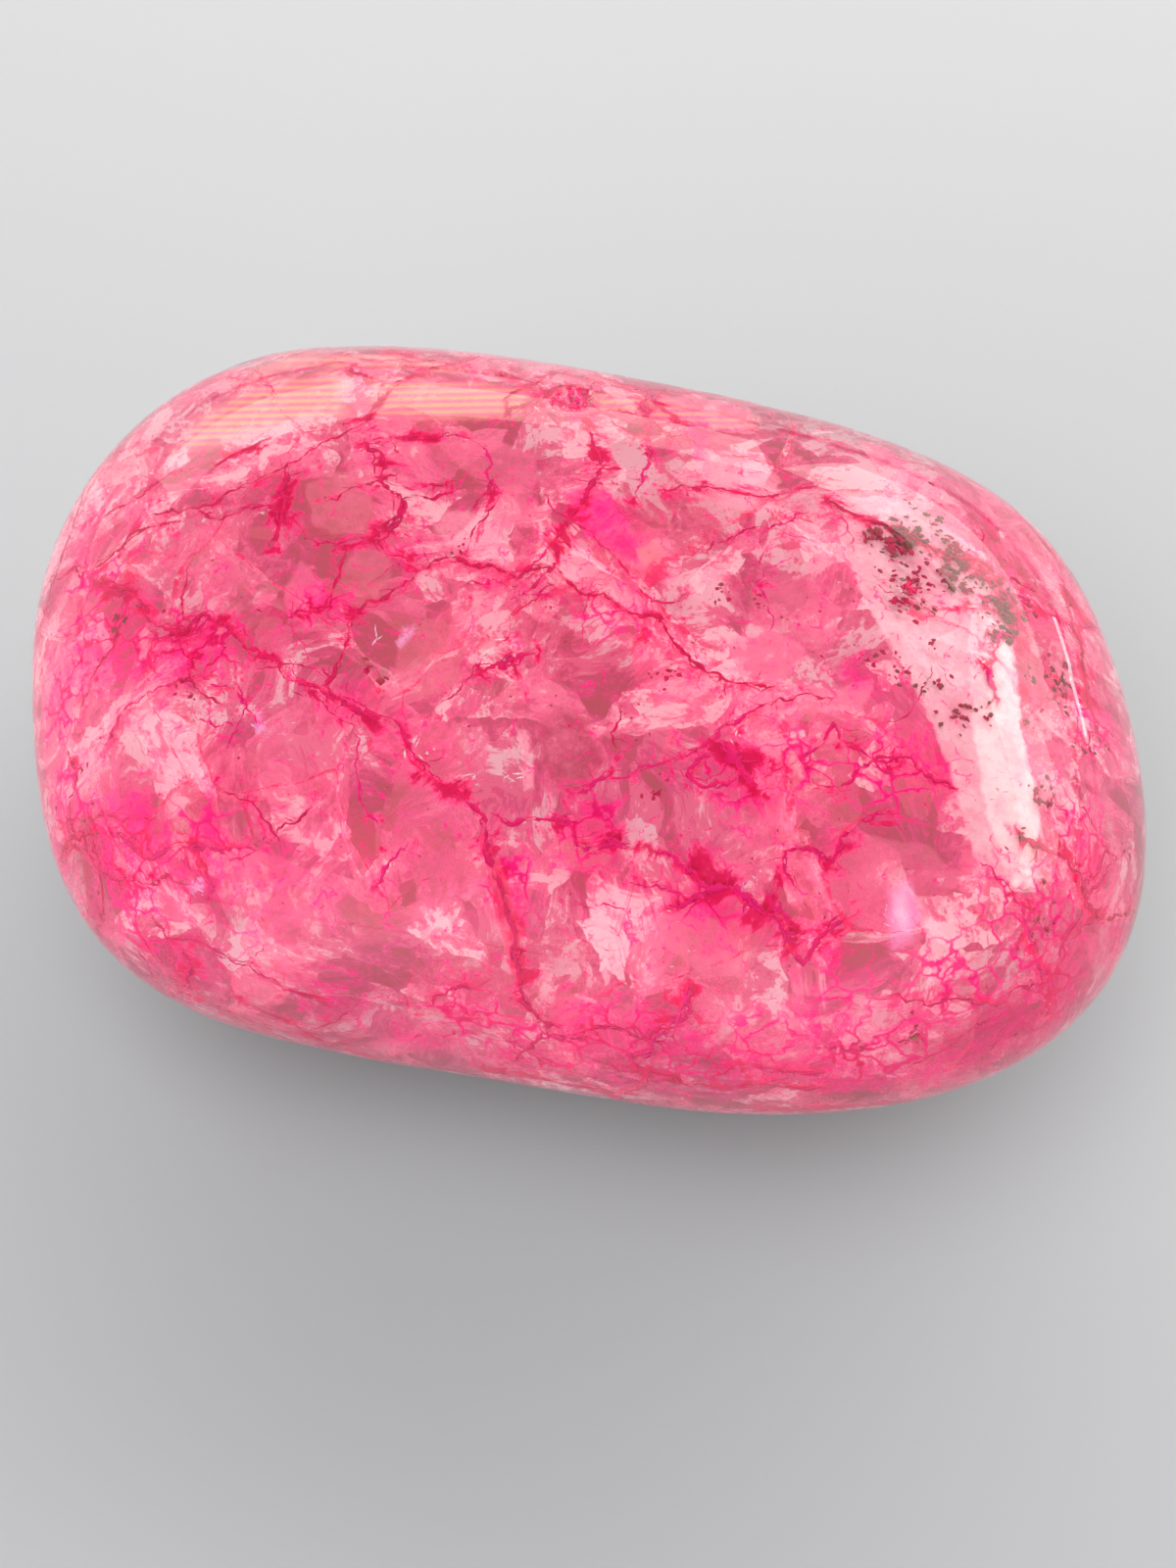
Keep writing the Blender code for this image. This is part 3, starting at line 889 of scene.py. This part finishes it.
def patch_material():
    """Stained or milky patches of single cracks that face the eye, and patches of painted light and painted
    darkness.
    """
    n = Nodes("stain_and_painted_light_patches")
    rim = n.line(n.noise(0.6, 4.0, 0.75), -0.7, n.value("edge"))
    edge = n.step(rim, -0.36, n.line(n.value("soft"), 0.45, -0.12))
    fine = n.step(n.noise(0.3, 4.0, 0.85), 0.35, 0.6, 0.6, 1.0)
    alpha = n.times(n.times(edge, fine), n.value("cover"))
    colour = n.node("Attribute", attribute_name="tint").outputs["Color"]
    colour = n.blend(n.step(n.noise(1.1, 3.0, 0.7), 0.35, 0.7, 0.0, 0.5), colour, SALMON)
    # Amber stripes painted on the striped patches: the reflection of a warm striped light.
    wave = {"Vector": n.vector("drift"), "Scale": 1.0, "Distortion": 0.6, "Detail": 2.0}
    stripes = n.step(n.node("TexWave", wave, bands_direction="Y").outputs["Fac"], 0.2, 0.8, 0.0, 0.95)
    colour = n.blend(n.times(stripes, n.value("striped")), colour, STRIPE_REFLECTION_AMBER)
    return under_skin(n, alpha, colour, (0.97, 0.94, 0.95, 1.0), 0.2)


def grain_material():
    """Grains of mineral caught near the skin, olive, brown or dark red."""
    n = Nodes("mineral_grains")
    colour = n.blend(n.value("tint"), OLIVE, GARNET)
    return n.plain(n.blend(n.step(n.noise(0.12, 2.0), 0.4, 0.6, 0.0, 0.15), colour, MAUVE), 0.7)


def glint_material():
    """Small pale shards: painted sparkle highlights, and the tiny white crystals of the top chip."""
    n = Nodes("painted_sparkle_glints")
    return n.plain(n.blend(n.value("tint"), PEARL, LILAC), 0.25)


def floor_material():
    """Pale grey, darker near and paler far away: painted light that evens out the lamps."""
    n = Nodes("pale_floor")
    away = n.node("VectorMath", {0: n.place}, operation="LENGTH").outputs["Value"]
    return n.plain(n.blend(n.step(away, *FLOOR_FADE_MM), NEAR_FLOOR, FAR_FLOOR), 0.6)


# The skin


def pit_depth(point, place, normal, long, wide, deep, turn_deg):
    """How deep a pit is at a point near its place, with a ragged rim and a rough floor."""
    along = normal.orthogonal().normalized()
    along.rotate(Matrix.Rotation(math.radians(turn_deg), 3, normal))
    across = normal.cross(along)
    offset = point - place
    out = math.hypot(offset.dot(along) / (long / 2), offset.dot(across) / (wide / 2))
    out += PIT_RIM * noise.noise(point / (0.35 * MM))
    if out >= 1:
        return 0.0
    floor = 1 + PIT_FLOOR * noise.noise(point / (0.2 * MM))
    return deep * min(1.0, (1 - out) * PIT_SLOPE) * floor


def cut_pit(bm, smooth, round_deg, up_deg, long, wide, deep, turn_deg):
    """Makes the skin's mesh finer round a pit, and presses the pit into it."""
    aim = way_to(round_deg, up_deg)
    place, normal, _, _ = smooth.ray_cast(MIDDLE + aim * CLEAR_OF_STONE, -aim)
    for _ in range(PIT_CUTS):
        near = [e for e in bm.edges if (e.verts[0].co - place).length < long * 0.75]
        bmesh.ops.subdivide_edges(bm, edges=near, cuts=1, use_grid_fill=True)
    for vertex in bm.verts:
        if (vertex.co - place).length < long:
            vertex.co -= normal * pit_depth(vertex.co.copy(), place, normal, long, wide, deep, turn_deg)


def smooth_skin():
    """(points, faces) of the solid's surface, with its facets evened out and its pits closed."""
    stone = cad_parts[NODE].data
    solid = tree_of([v.co for v in stone.vertices], [p.vertices for p in stone.polygons])
    ways, faces = ball(SKIN_DETAIL)
    reach = reach_of(solid, ways)
    in_pit = np.zeros(len(ways), bool)
    for round_deg, up_deg, long, *_ in PITS.values():
        aim = np.array(way_to(round_deg, up_deg))
        far = reach[np.argmax(ways @ aim)]
        in_pit |= np.linalg.norm(ways * far - aim * far, axis=1) < long * 0.8
    reach = evened(reach, faces, PIT_PASSES, in_pit)
    reach = evened(reach, faces, SKIN_PASSES)
    waves = WAVES * noise_at(ways * reach[:, None], WAVE_LENGTH)
    return ways * (reach + waves)[:, None] + np.array(MIDDLE), faces


def make_skin():
    """The polished surface that stands for the solid. What it gives back has no pits."""
    points, faces = smooth_skin()
    smooth = tree_of(points, faces)
    bm = bmesh.new()
    verts = [bm.verts.new(p) for p in points]
    for face in faces:
        bm.faces.new([verts[i] for i in face])
    for pit in PITS.values():
        cut_pit(bm, smooth, *pit)
    for vertex in bm.verts:
        vertex.co.z = max(vertex.co.z, 0.0)
    bmesh.ops.triangulate(bm, faces=bm.faces[:])
    bm.normal_update()
    mesh = bpy.data.meshes.new("polished_skin")
    bm.to_mesh(mesh)
    bm.free()
    mesh.shade_smooth()
    skin = add_object("polished_skin", mesh, skin_material())
    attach(skin, "root")
    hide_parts(NODE)
    return smooth


# Crack walls


def clipped(polygon, point, normal):
    """The part of a flat polygon that lies behind a plane."""
    kept = []
    for a, b in zip(polygon, polygon[1:] + polygon[:1]):
        over_a, over_b = (a - point).dot(normal), (b - point).dot(normal)
        if over_a <= 0:
            kept.append(a)
        if (over_a < 0 < over_b) or (over_b < 0 < over_a):
            kept.append(a.lerp(b, over_a / (over_a - over_b)))
    return kept


def wall_between(i, j, seeds, near):
    """The flat wall between two pieces of the stone, or nothing where they don't meet."""
    middle, normal = (seeds[i] + seeds[j]) / 2, (seeds[j] - seeds[i]).normalized()
    along = normal.orthogonal().normalized()
    across = normal.cross(along)
    corners = ((-1, -1), (1, -1), (1, 1), (-1, 1))
    polygon = [middle + along * x * WALL_REACH + across * y * WALL_REACH for x, y in corners]
    for k in near:
        if k in (i, j):
            continue
        polygon = clipped(polygon, (seeds[i] + seeds[k]) / 2, (seeds[k] - seeds[i]).normalized())
        if len(polygon) < 3:
            return None
    return polygon, middle, along, across


def meshed(polygon, middle, along, across, rng):
    """(points, faces, distance to the wall's edge) of a wall, in steps of WALL_STEP."""
    flat = np.array([((p - middle).dot(along), (p - middle).dot(across)) for p in polygon])
    rim = finer_outline(flat, WALL_STEP)
    grid = grid_over(flat, WALL_STEP)
    grid = grid + (rng.random(grid.shape) - 0.5) * WALL_STEP * 0.4
    run = np.roll(flat, -1, axis=0) - flat
    length = np.maximum(np.linalg.norm(run, axis=1), TINY)
    inward = np.stack([-run[:, 1], run[:, 0]], 1) / length[:, None]

    def inside(points):
        return np.min([(points - corner) @ way for corner, way in zip(flat, inward)], axis=0)

    if inside(flat.mean(axis=0)[None])[0] < 0:
        inward = -inward
    grid = grid[inside(grid) > WALL_STEP * 0.45]
    both = np.concatenate([np.array(rim), grid])
    made = delaunay_2d_cdt([Vector(p) for p in both], [], [list(range(len(rim)))], 1, 1e-7)
    points = np.array(made[0])
    faces = [f for f in made[2] if len(f) == 3]
    place = np.array(middle) + points[:, :1] * np.array(along) + points[:, 1:2] * np.array(across)
    return place, np.array(faces, int).reshape(-1, 3), np.maximum(inside(points), 0)


def bent(points):
    """The points of the flat walls, pushed about in broad, small and tiny waves."""
    broad = 1.1 * MM * drift_at(points, 6 * MM, 1)
    small = 0.22 * MM * drift_at(points, 1.3 * MM, 2)
    points = points + (broad + small)
    return points + 0.06 * MM * drift_at(points, 0.5 * MM, 3)


def kept_under(skin, points):
    """(points, depth under the skin). What would come just through the skin stays right under it."""
    depth = np.empty(len(points))
    for index, point in enumerate(points):
        place, normal, _, _ = skin.find_nearest(Vector(point))
        depth[index] = (place - Vector(point)).dot(normal)
        if -WALL_STEP < depth[index] < COVER_OF_SKIN:
            points[index] = place - normal * COVER_OF_SKIN
    return points, depth


def make_walls(skin):
    """The walls between the pieces, without those that the clouds hide."""
    rng = np.random.default_rng(11)
    low, high = (np.array(corner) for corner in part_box(NODE))
    seeds = [Vector(low + (high - low) * rng.random(3)) for _ in range(PIECES)]
    points, faces, total = [], [], 0
    values = {"edge": [], "tint": [], "cover": []}
    for i in range(PIECES):
        near = sorted(range(PIECES), key=lambda k: (seeds[k] - seeds[i]).length)[1:NEIGHBOURS + 1]
        for j in near:
            if j < i or rng.random() < WALLS_LEFT_OUT:
                continue
            wall = wall_between(i, j, seeds, near)
            if wall is None:
                continue
            place, tris, rim = meshed(*wall, rng)
            points.append(place)
            faces.append(tris + total)
            values["edge"].append(rim / MM)
            values["tint"].append(np.full(len(place), rng.random()))
            values["cover"].append(np.full(len(place), rng.choice(WALL_COVERS)))
            total += len(place)
    points, depth = kept_under(skin, bent(np.concatenate(points)))
    faces = np.concatenate(faces)
    in_stone = (depth[faces] > -WALL_STEP).all(axis=1) & (depth[faces].max(axis=1) > COVER_OF_SKIN)
    kept = faces[in_stone & (depth[faces].min(axis=1) < WALLS_END)]
    used, index = np.unique(kept, return_inverse=True)
    values = {key: np.concatenate(numbers)[used] for key, numbers in values.items()}
    values["depth"] = np.maximum(depth[used], 0) / MM
    values["drift"] = drifted(points[used], 4)
    make_piece("crack_walls", points[used], index.reshape(-1, 3), wall_material(), values)


# Clouds and crazing


def under_place(place, normal, ray, depth):
    """What a ray that meets the skin at a place reaches at that depth, bent by the quartz."""
    into = ray.dot(normal) / QUARTZ_IOR
    inside = ray / QUARTZ_IOR - normal * (into + math.sqrt(1 - 1 / QUARTZ_IOR**2 + into**2))
    return place + inside * depth / -inside.dot(normal)


def seen_way(skin, pixel, depth):
    """The way from the stone's middle to what shows at a pixel at that depth under the skin."""
    eye, ray = sight(pixel)
    place, normal, _, _ = skin.ray_cast(eye, ray)
    return (under_place(place, normal, ray, depth) - MIDDLE).normalized()


def field(skin, ways, reach, depth, spots, seed):
    """How strongly the spots colour each way, from 0 to 1. Chance decides where they can't be seen."""
    strength = np.zeros(len(ways))
    for x, y, size, share in spots:
        aim = np.array(seen_way(skin, (x, y), depth))
        apart = np.linalg.norm(ways - aim, axis=1) * reach
        strength = np.maximum(strength, share * np.exp(-((apart / (size * MM)) ** 2)))
    hidden = np.clip(HIDDEN_FROM - ways @ np.array(view_back()), 0, 0.5) * 2
    chance = np.clip(noise_at(ways * BALL_RADIUS, 6 * MM, seed) * 2.2 - 0.3, 0, 1)
    return np.maximum(strength, hidden * chance)


def make_layer(name, skin, material, cracks=()):
    """A closed sheet that follows the skin at a depth, give or take its lumps."""
    depth, lumps = LAYERS[name]
    ways, faces = ball(LAYER_DETAIL)
    reach = reach_of(skin, ways)
    under = depth + lumps * noise_at(ways * BALL_RADIUS, LUMP_LENGTH, depth / MM)
    points = ways * (reach - under)[:, None] + np.array(MIDDLE)
    values = {
        key: field(skin, ways, reach, depth, spots, seed)
        for seed, (key, spots) in enumerate(SPOTS.items())
    }
    values["drift"] = drifted(points, depth / MM)
    if cracks:
        values["near"] = stained_near(points, cracks)
    make_piece(name, points, faces, material, values)


# Cracks that reach the skin


def walked(skin, start, heading, steps, rng):
    """Points of a crack that wanders over the skin."""
    place, normal, _, _ = skin.find_nearest(start)
    points = [place]
    for _ in range(steps):
        heading = heading - normal * heading.dot(normal)
        heading.rotate(Matrix.Rotation(rng.uniform(-0.55, 0.55), 3, normal))
        place, normal, _, _ = skin.find_nearest(place + heading.normalized() * CRACK_STRIDE)
        points.append(place)
    return points


def jagged(points, rng):
    """The points of a crack with smaller and smaller kinks put in between them."""
    for _ in range(KINKS):
        finer = [points[0]]
        for a, b in zip(points, points[1:]):
            run = b - a
            if run.length > CRACK_STEP * 1.6:
                aside = run.cross(a - MIDDLE).normalized()
                finer.append((a + b) / 2 + aside * run.length * rng.gauss(0, JAG))
            finer.append(b)
        points = finer
    return points


def twigs_of(skin, points, rng):
    """Short side cracks that leave a crack here and there."""
    for index in range(4, len(points) - 2, TWIG_EVERY):
        place = points[index + rng.randint(-3, 1)]
        heading = points[index + 1] - points[index - 1]
        _, normal, _, _ = skin.find_nearest(place)
        heading.rotate(Matrix.Rotation(rng.choice((-1, 1)) * rng.uniform(0.5, 1.5), 3, normal))
        reach = rng.uniform(0.25, 0.9) * MM
        yield [place, place + heading.normalized() * reach * 0.5, place + heading.normalized() * reach]


def twig_routes(skin, points, half, bright, rng):
    """(points, half width, share of bright dye, whether it goes deep) of each of a crack's twigs."""
    twigs = twigs_of(skin, points, rng)
    return [(jagged(twig, rng), half * TWIG_SHARE, bright, False) for twig in twigs]


def all_cracks(skin):
    """(places, normals, half width, share of bright dye, whether it goes deep) of each crack:
    the photograph's own ones first, then chance ones, which are short where they would show."""
    rng = random.Random(5)
    routes = []
    for wide, bright, pixels in CRACKS.values():
        half = wide * HALF_OF_LOOK * MM
        points = [skin.ray_cast(*sight(pixel))[0] for pixel in pixels]
        fine = jagged(points, rng)
        routes.append((fine, half, bright, True))
        if wide >= BROAD_CRACK:
            routes.append((jagged(points, rng), half * STRAND_SHARE, bright, False))
        routes += twig_routes(skin, fine, half, bright, rng)
    back = view_back()
    fewest, thinnest = CHANCE_LEAST
    for _ in range(CHANCE_CRACKS):
        aim = Vector([rng.gauss(0, 1) for _ in range(3)]).normalized()
        heading = Vector([rng.gauss(0, 1) for _ in range(3)])
        in_front = aim.dot(back) > IN_FRONT_FROM
        most, widest = CHANCE_MOST_IN_FRONT if in_front else CHANCE_MOST_ELSEWHERE
        start = skin.ray_cast(MIDDLE, aim)[0]
        points = walked(skin, start, heading, rng.randint(fewest, most), rng)
        half = rng.uniform(thinnest, widest) * MM
        bright = rng.choice(CHANCE_BRIGHT)
        fine = jagged(points, rng)
        routes.append((fine, half, bright, not in_front))
        routes += twig_routes(skin, fine, half, bright, rng)
    for points, half, bright, deep in routes:
        landed = [skin.find_nearest(point)[:2] for point in points]
        if len(landed) > 3:
            yield [place for place, _ in landed], [normal for _, normal in landed], half, bright, deep


def across_crack(places, normals, index, span):
    """The way across a crack at one of its points, from the points a span before and after."""
    ahead = places[min(index + span, len(places) - 1)] - places[max(index - span, 0)]
    return normals[index].cross(ahead).normalized()


def taper(places, index):
    """From 0 at the ends of a crack to 1 along it."""
    return min(1.0, index / TAPER_POINTS, (len(places) - 1 - index) / TAPER_POINTS)


def vein_of(places, normals, half, first):
    """(points, faces) of a thin, flat, ragged tube of dye along a crack."""
    points, faces = [], []
    for index, (place, normal) in enumerate(zip(places, normals)):
        across = across_crack(places, normals, index, 1)
        swell = 1 + 1.5 * noise.noise(place / (0.7 * MM)) + 1.9 * noise.noise(place / (0.18 * MM))
        radius = half * max(0.12, swell) * taper(places, index) + THINNEST_VEIN
        core = place - normal * (COVER_OF_SKIN + radius * VEIN_FLATNESS)
        for side in range(VEIN_SIDES):
            turn = math.tau * side / VEIN_SIDES
            up = normal * math.sin(turn) * radius * VEIN_FLATNESS
            points.append(core + across * math.cos(turn) * radius + up)
    for k in range(first, first + (len(places) - 1) * VEIN_SIDES, VEIN_SIDES):
        for side in range(VEIN_SIDES):
            a, b = k + side, k + (side + 1) % VEIN_SIDES
            faces += [(a, b, b + VEIN_SIDES), (a, b + VEIN_SIDES, a + VEIN_SIDES)]
    for end in (first, first + (len(places) - 1) * VEIN_SIDES):
        faces += [(end, end + 1, end + 2), (end, end + 2, end + 3)]
    return points, faces


def fin_of(places, normals, half, lean, first):
    """(points, faces, depths, strengths) of the sheet that goes down from a crack, with a lean."""
    points, faces, depths, strengths = [], [], [], []
    mouths = range(0, len(places), FIN_EVERY)
    for index in mouths:
        place, normal = places[index], normals[index]
        across = across_crack(places, normals, index, 2)
        for row in range(FIN_ROWS):
            down = FIN_DEPTH * (row / (FIN_ROWS - 1)) ** 1.4
            slide = lean * down + 0.3 * MM * noise.noise((place - normal * down) / (1.2 * MM))
            points.append(place - normal * (COVER_OF_SKIN + down) + across * slide)
            depths.append(down / MM)
            strengths.append(min(0.8, half / (0.06 * MM)) * taper(places, index))
    for k in range(len(mouths) - 1):
        for row in range(FIN_ROWS - 1):
            a = first + k * FIN_ROWS + row
            faces += [(a, a + 1, a + FIN_ROWS + 1), (a, a + FIN_ROWS + 1, a + FIN_ROWS)]
    return points, faces, depths, strengths


def make_cracks(cracks):
    """Each crack as a fine vein of dye under the polish, over a fin that goes down into the stone."""
    rng = random.Random(6)
    veins, vein_faces, bright_shares = [], [], []
    fins, fin_faces, depths, strengths = [], [], [], []
    for places, normals, half, bright, deep in cracks:
        points, faces = vein_of(places, normals, half, len(veins))
        veins += points
        vein_faces += faces
        bright_shares += [bright] * len(points)
        if deep:
            points, faces, down, strong = fin_of(places, normals, half, rng.uniform(-0.7, 0.7), len(fins))
            fins += points
            fin_faces += faces
            depths += down
            strengths += strong
    make_piece("dye_veins", veins, vein_faces, vein_material(), {"bright": bright_shares})
    make_piece("open_cracks", fins, fin_faces, fin_material(), {"depth": depths, "strength": strengths})


def stained_near(points, cracks):
    """How strongly the cracks stain each point, from 0 to 1."""
    stains = [(p, half) for places, _, half, _, _ in cracks for p in places[::2]]
    tree = KDTree(len(stains))
    for index, (place, _) in enumerate(stains):
        tree.insert(place, index)
    tree.balance()
    found = [tree.find(Vector(point)) for point in points]
    strong = np.array([min(1.0, stains[index][1] / (0.05 * MM)) for _, index, _ in found])
    return strong * np.exp(-((np.array([apart for _, _, apart in found]) / STAIN_REACH) ** 2))


# Single patches of stain and of painted light, grains and glints


def make_patches(skin):
    """Flat stained or milky patches, and patches of painted light and painted darkness, each inside the
    pixels that outline it, at its depth.
    """
    points, faces = [], []
    values = {key: [] for key in ("edge", "cover", "tint", "striped", "soft", "drift")}
    for tint, look, depth, cover, outline in PATCHES.values():
        flat = np.array(outline, float)
        run = np.roll(flat, -1, axis=0) - flat
        length = np.maximum(np.linalg.norm(run, axis=1), TINY)
        rim = finer_outline(flat, PATCH_STEP)
        both = np.concatenate([np.array(rim), grid_over(flat, PATCH_STEP)])
        made = delaunay_2d_cdt([Vector(p) for p in both], [], [list(range(len(rim)))], 2, 1e-3)
        faces += [tuple(i + len(points) for i in f) for f in made[2] if len(f) == 3]
        for x, y in made[0]:
            offset = np.array((x, y)) - flat
            along = np.clip((offset * run).sum(axis=1) / length**2, 0, 1)
            apart = np.linalg.norm(offset - run * along[:, None], axis=1).min()
            eye, ray = sight((x, y))
            place, normal, _, _ = skin.ray_cast(eye, ray)
            if place is None:
                place, normal, _, _ = skin.find_nearest(eye + ray * DISTANCE)
            wave = 1 + 0.3 * noise.noise(place / (2.5 * MM))
            points.append(under_place(place, normal, ray, depth * wave * MM))
            values["edge"].append(apart * PIXEL_MM)
            values["cover"].append(cover)
            values["tint"].append(TINTS[tint][:3])
            values["striped"].append(float(look == "striped"))
            values["soft"].append(float(look != "plain"))
            values["drift"].append((0.0, (y + STRIPE_SLOPE * x) * STRIPES_PER_PIXEL, 0.0))
    make_piece("stain_and_painted_light_patches", points, faces, patch_material(), values)


def near_pixel(skin, rng, x, y, spread):
    """(place, normal) on the skin by chance near a pixel. Both are nothing where it misses the stone."""
    return skin.ray_cast(*sight((x + rng.gauss(0, spread), y + rng.gauss(0, spread))))[:2]


def axes_on(normal, turn):
    """(along, across): two ways on the skin, turned by an angle."""
    along = Matrix.Rotation(turn, 3, normal) @ normal.orthogonal().normalized()
    return along, normal.cross(along)


def share_near(rng, share, spread):
    """A chance share near another one, from 0 to 1."""
    return min(1.0, max(0.0, rng.gauss(share, spread)))


def make_grains(skin):
    """Clusters of mineral grains just under the polish."""
    rng = random.Random(8)
    shape, sides = ball(GRAIN_DETAIL)
    points, faces, tints = [], [], []
    for x, y, spread, count, size, red in itertools.chain.from_iterable(GRAINS.values()):
        for _ in range(count):
            place, normal = near_pixel(skin, rng, x, y, spread)
            if place is None:
                continue
            half = size * rng.uniform(0.4, 1.3) / 2 * MM
            along, across = axes_on(normal, rng.uniform(0, math.tau))
            core = place - normal * (COVER_OF_SKIN * 0.4 + half * 0.5 + rng.uniform(0, 0.12) * MM)
            stretch = rng.uniform(0.3, 0.9)
            faces += [tuple(int(i) + len(points) for i in side) for side in sides]
            tints += [share_near(rng, red, 0.4)] * len(shape)
            for corner in shape:
                lump = 1 + 0.8 * noise.noise(Vector(corner) * 2.1 + place / MM)
                a, b, c = (value * half * lump for value in corner)
                points.append(core + along * a + across * b * stretch + normal * c * 0.5)
    make_piece("mineral_grains", points, faces, grain_material(), {"tint": tints}, smooth=False)


def make_glints(skin):
    """Small pale shards along the cracks, painted as sparkle highlights, each a thin splinter of eight
    faces.
    """
    rng = random.Random(21)
    points, faces, tints = [], [], []
    for x, y, spread, count, size, lilac in itertools.chain.from_iterable(GLINTS.values()):
        lean = rng.uniform(0, math.tau)
        for _ in range(count):
            place, normal = near_pixel(skin, rng, x, y, spread)
            if place is None:
                continue
            along, across = axes_on(normal, lean + rng.gauss(0, 0.5))
            core = place - normal * rng.uniform(0.15, 0.6) * MM
            long = size * rng.uniform(0.2, 1.1) * MM / 2
            wide = size * rng.uniform(0.06, 0.22) * MM / 2
            tip = normal * rng.uniform(-0.3, 0.3) * long
            first = len(points)
            rim = (along * long + tip, across * wide, -along * long * 0.8 - tip, -across * wide * 0.7)
            points += [core + corner for corner in rim]
            points += [core + normal * wide * 0.3, core - normal * wide * 0.3]
            faces += [(first + k, first + (k + 1) % 4, first + 4) for k in range(4)]
            faces += [(first + (k + 1) % 4, first + k, first + 5) for k in range(4)]
            tints += [share_near(rng, lilac, 0.2)] * 6
    make_piece("painted_sparkle_glints", points, faces, glint_material(), {"tint": tints}, smooth=False)


# Camera, light and floor


def view_back():
    """The way from the stone to the camera."""
    azimuth, elevation = math.radians(AZIMUTH), math.radians(ELEVATION)
    level = math.cos(elevation)
    return Vector((math.sin(azimuth) * level, -math.cos(azimuth) * level, math.sin(elevation)))


def camera_axes():
    """(place, right, up, back) of the camera."""
    back = view_back()
    right = Vector((math.cos(math.radians(AZIMUTH)), math.sin(math.radians(AZIMUTH)), 0))
    up = back.cross(right)
    return MIDDLE + back * DISTANCE + right * SIDE_STEP + up * UP_STEP, right, up, back


def sight(pixel):
    """(place, way) of the camera's ray through a pixel of the photograph."""
    eye, right, up, back = camera_axes()
    focal = LENS_MM / SENSOR_MM * PHOTO_HIGH
    across, down = (pixel[0] - PHOTO_WIDE / 2) / focal, (pixel[1] - PHOTO_HIGH / 2) / focal
    return eye, (right * across - up * down - back).normalized()


def make_camera():
    place, _, _, back = camera_axes()
    data = bpy.data.cameras.new("camera")
    data.lens, data.sensor_width = LENS_MM, SENSOR_MM
    data.clip_start, data.clip_end = 0.005, 20
    camera = bpy.data.objects.new("camera", data)
    camera.location = place
    camera.rotation_mode = "QUATERNION"
    camera.rotation_quaternion = (-back).to_track_quat("-Z", "Y")
    bpy.context.scene.collection.objects.link(camera)
    bpy.context.scene.camera = camera


def make_softbox(name, place, size, power, reflected, colour):
    """A rectangular lamp that faces the stone. The polish shows it where reflected is true."""
    round_deg, up_deg, distance = place
    data = bpy.data.lights.new(name, "AREA")
    data.shape, data.energy, data.color = "RECTANGLE", power, colour
    data.size, data.size_y = size
    lamp = bpy.data.objects.new(name, data)
    aim = way_to(round_deg, up_deg)
    lamp.location = MIDDLE + aim * distance
    lamp.rotation_mode = "QUATERNION"
    lamp.rotation_quaternion = aim.to_track_quat("Z", "Y")
    lamp.visible_camera = False
    lamp.visible_glossy = reflected
    bpy.context.scene.collection.objects.link(lamp)


def make_floor():
    bm = bmesh.new()
    bmesh.ops.create_grid(bm, x_segments=8, y_segments=8, size=FLOOR_HALF)
    mesh = bpy.data.meshes.new("floor")
    bm.to_mesh(mesh)
    bm.free()
    floor = add_object("floor", mesh, floor_material())
    floor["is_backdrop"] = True


def make_world():
    """Soft light that is brightest at the horizon and dimmer overhead."""
    world = bpy.data.worlds.new("studio")
    world.use_nodes = True
    nodes, links = world.node_tree.nodes, world.node_tree.links
    way = nodes.new("ShaderNodeSeparateXYZ")
    links.new(nodes.new("ShaderNodeTexCoord").outputs["Generated"], way.inputs[0])
    fade = nodes.new("ShaderNodeMapRange")
    fade.inputs["From Max"].default_value = DIM_FROM
    fade.inputs["To Min"].default_value = HORIZON_LIGHT
    fade.inputs["To Max"].default_value = OVERHEAD_LIGHT
    links.new(way.outputs["Z"], fade.inputs["Value"])
    shade = nodes["Background"]
    shade.inputs["Color"].default_value = STUDIO_GREY
    links.new(fade.outputs["Result"], shade.inputs["Strength"])
    bpy.context.scene.world = world


def set_light_paths(scene):
    """Enough bounces for quartz inside quartz, with plain colours and little noise."""
    scene.view_settings.view_transform = "Standard"
    scene.cycles.transparent_max_bounces = 12
    scene.cycles.sample_clamp_indirect = 4.0
    scene.cycles.max_bounces = 6
    scene.cycles.diffuse_bounces = 1
    scene.cycles.caustics_reflective = False
    scene.cycles.caustics_refractive = False
    scene.cycles.use_light_tree = False


def main():
    cad_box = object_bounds()
    noise.seed_set(DRIFT_SEED)
    make_camera()
    skin = make_skin()
    make_walls(skin)
    cracks = list(all_cracks(skin))
    make_cracks(cracks)
    make_layer("crazed_film", skin, crazed_material(), cracks)
    make_layer("upper_clouds", skin, cloud_material("upper_clouds", 1.9, 0.42))
    make_layer("deep_clouds", skin, deep_material())
    make_patches(skin)
    make_grains(skin)
    make_glints(skin)
    make_floor()
    make_world()
    for name, settings in LAMPS.items():
        make_softbox(name, *settings)
    set_light_paths(bpy.context.scene)
    boxes = [[list(corner) for corner in box] for box in (cad_box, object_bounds())]


main()
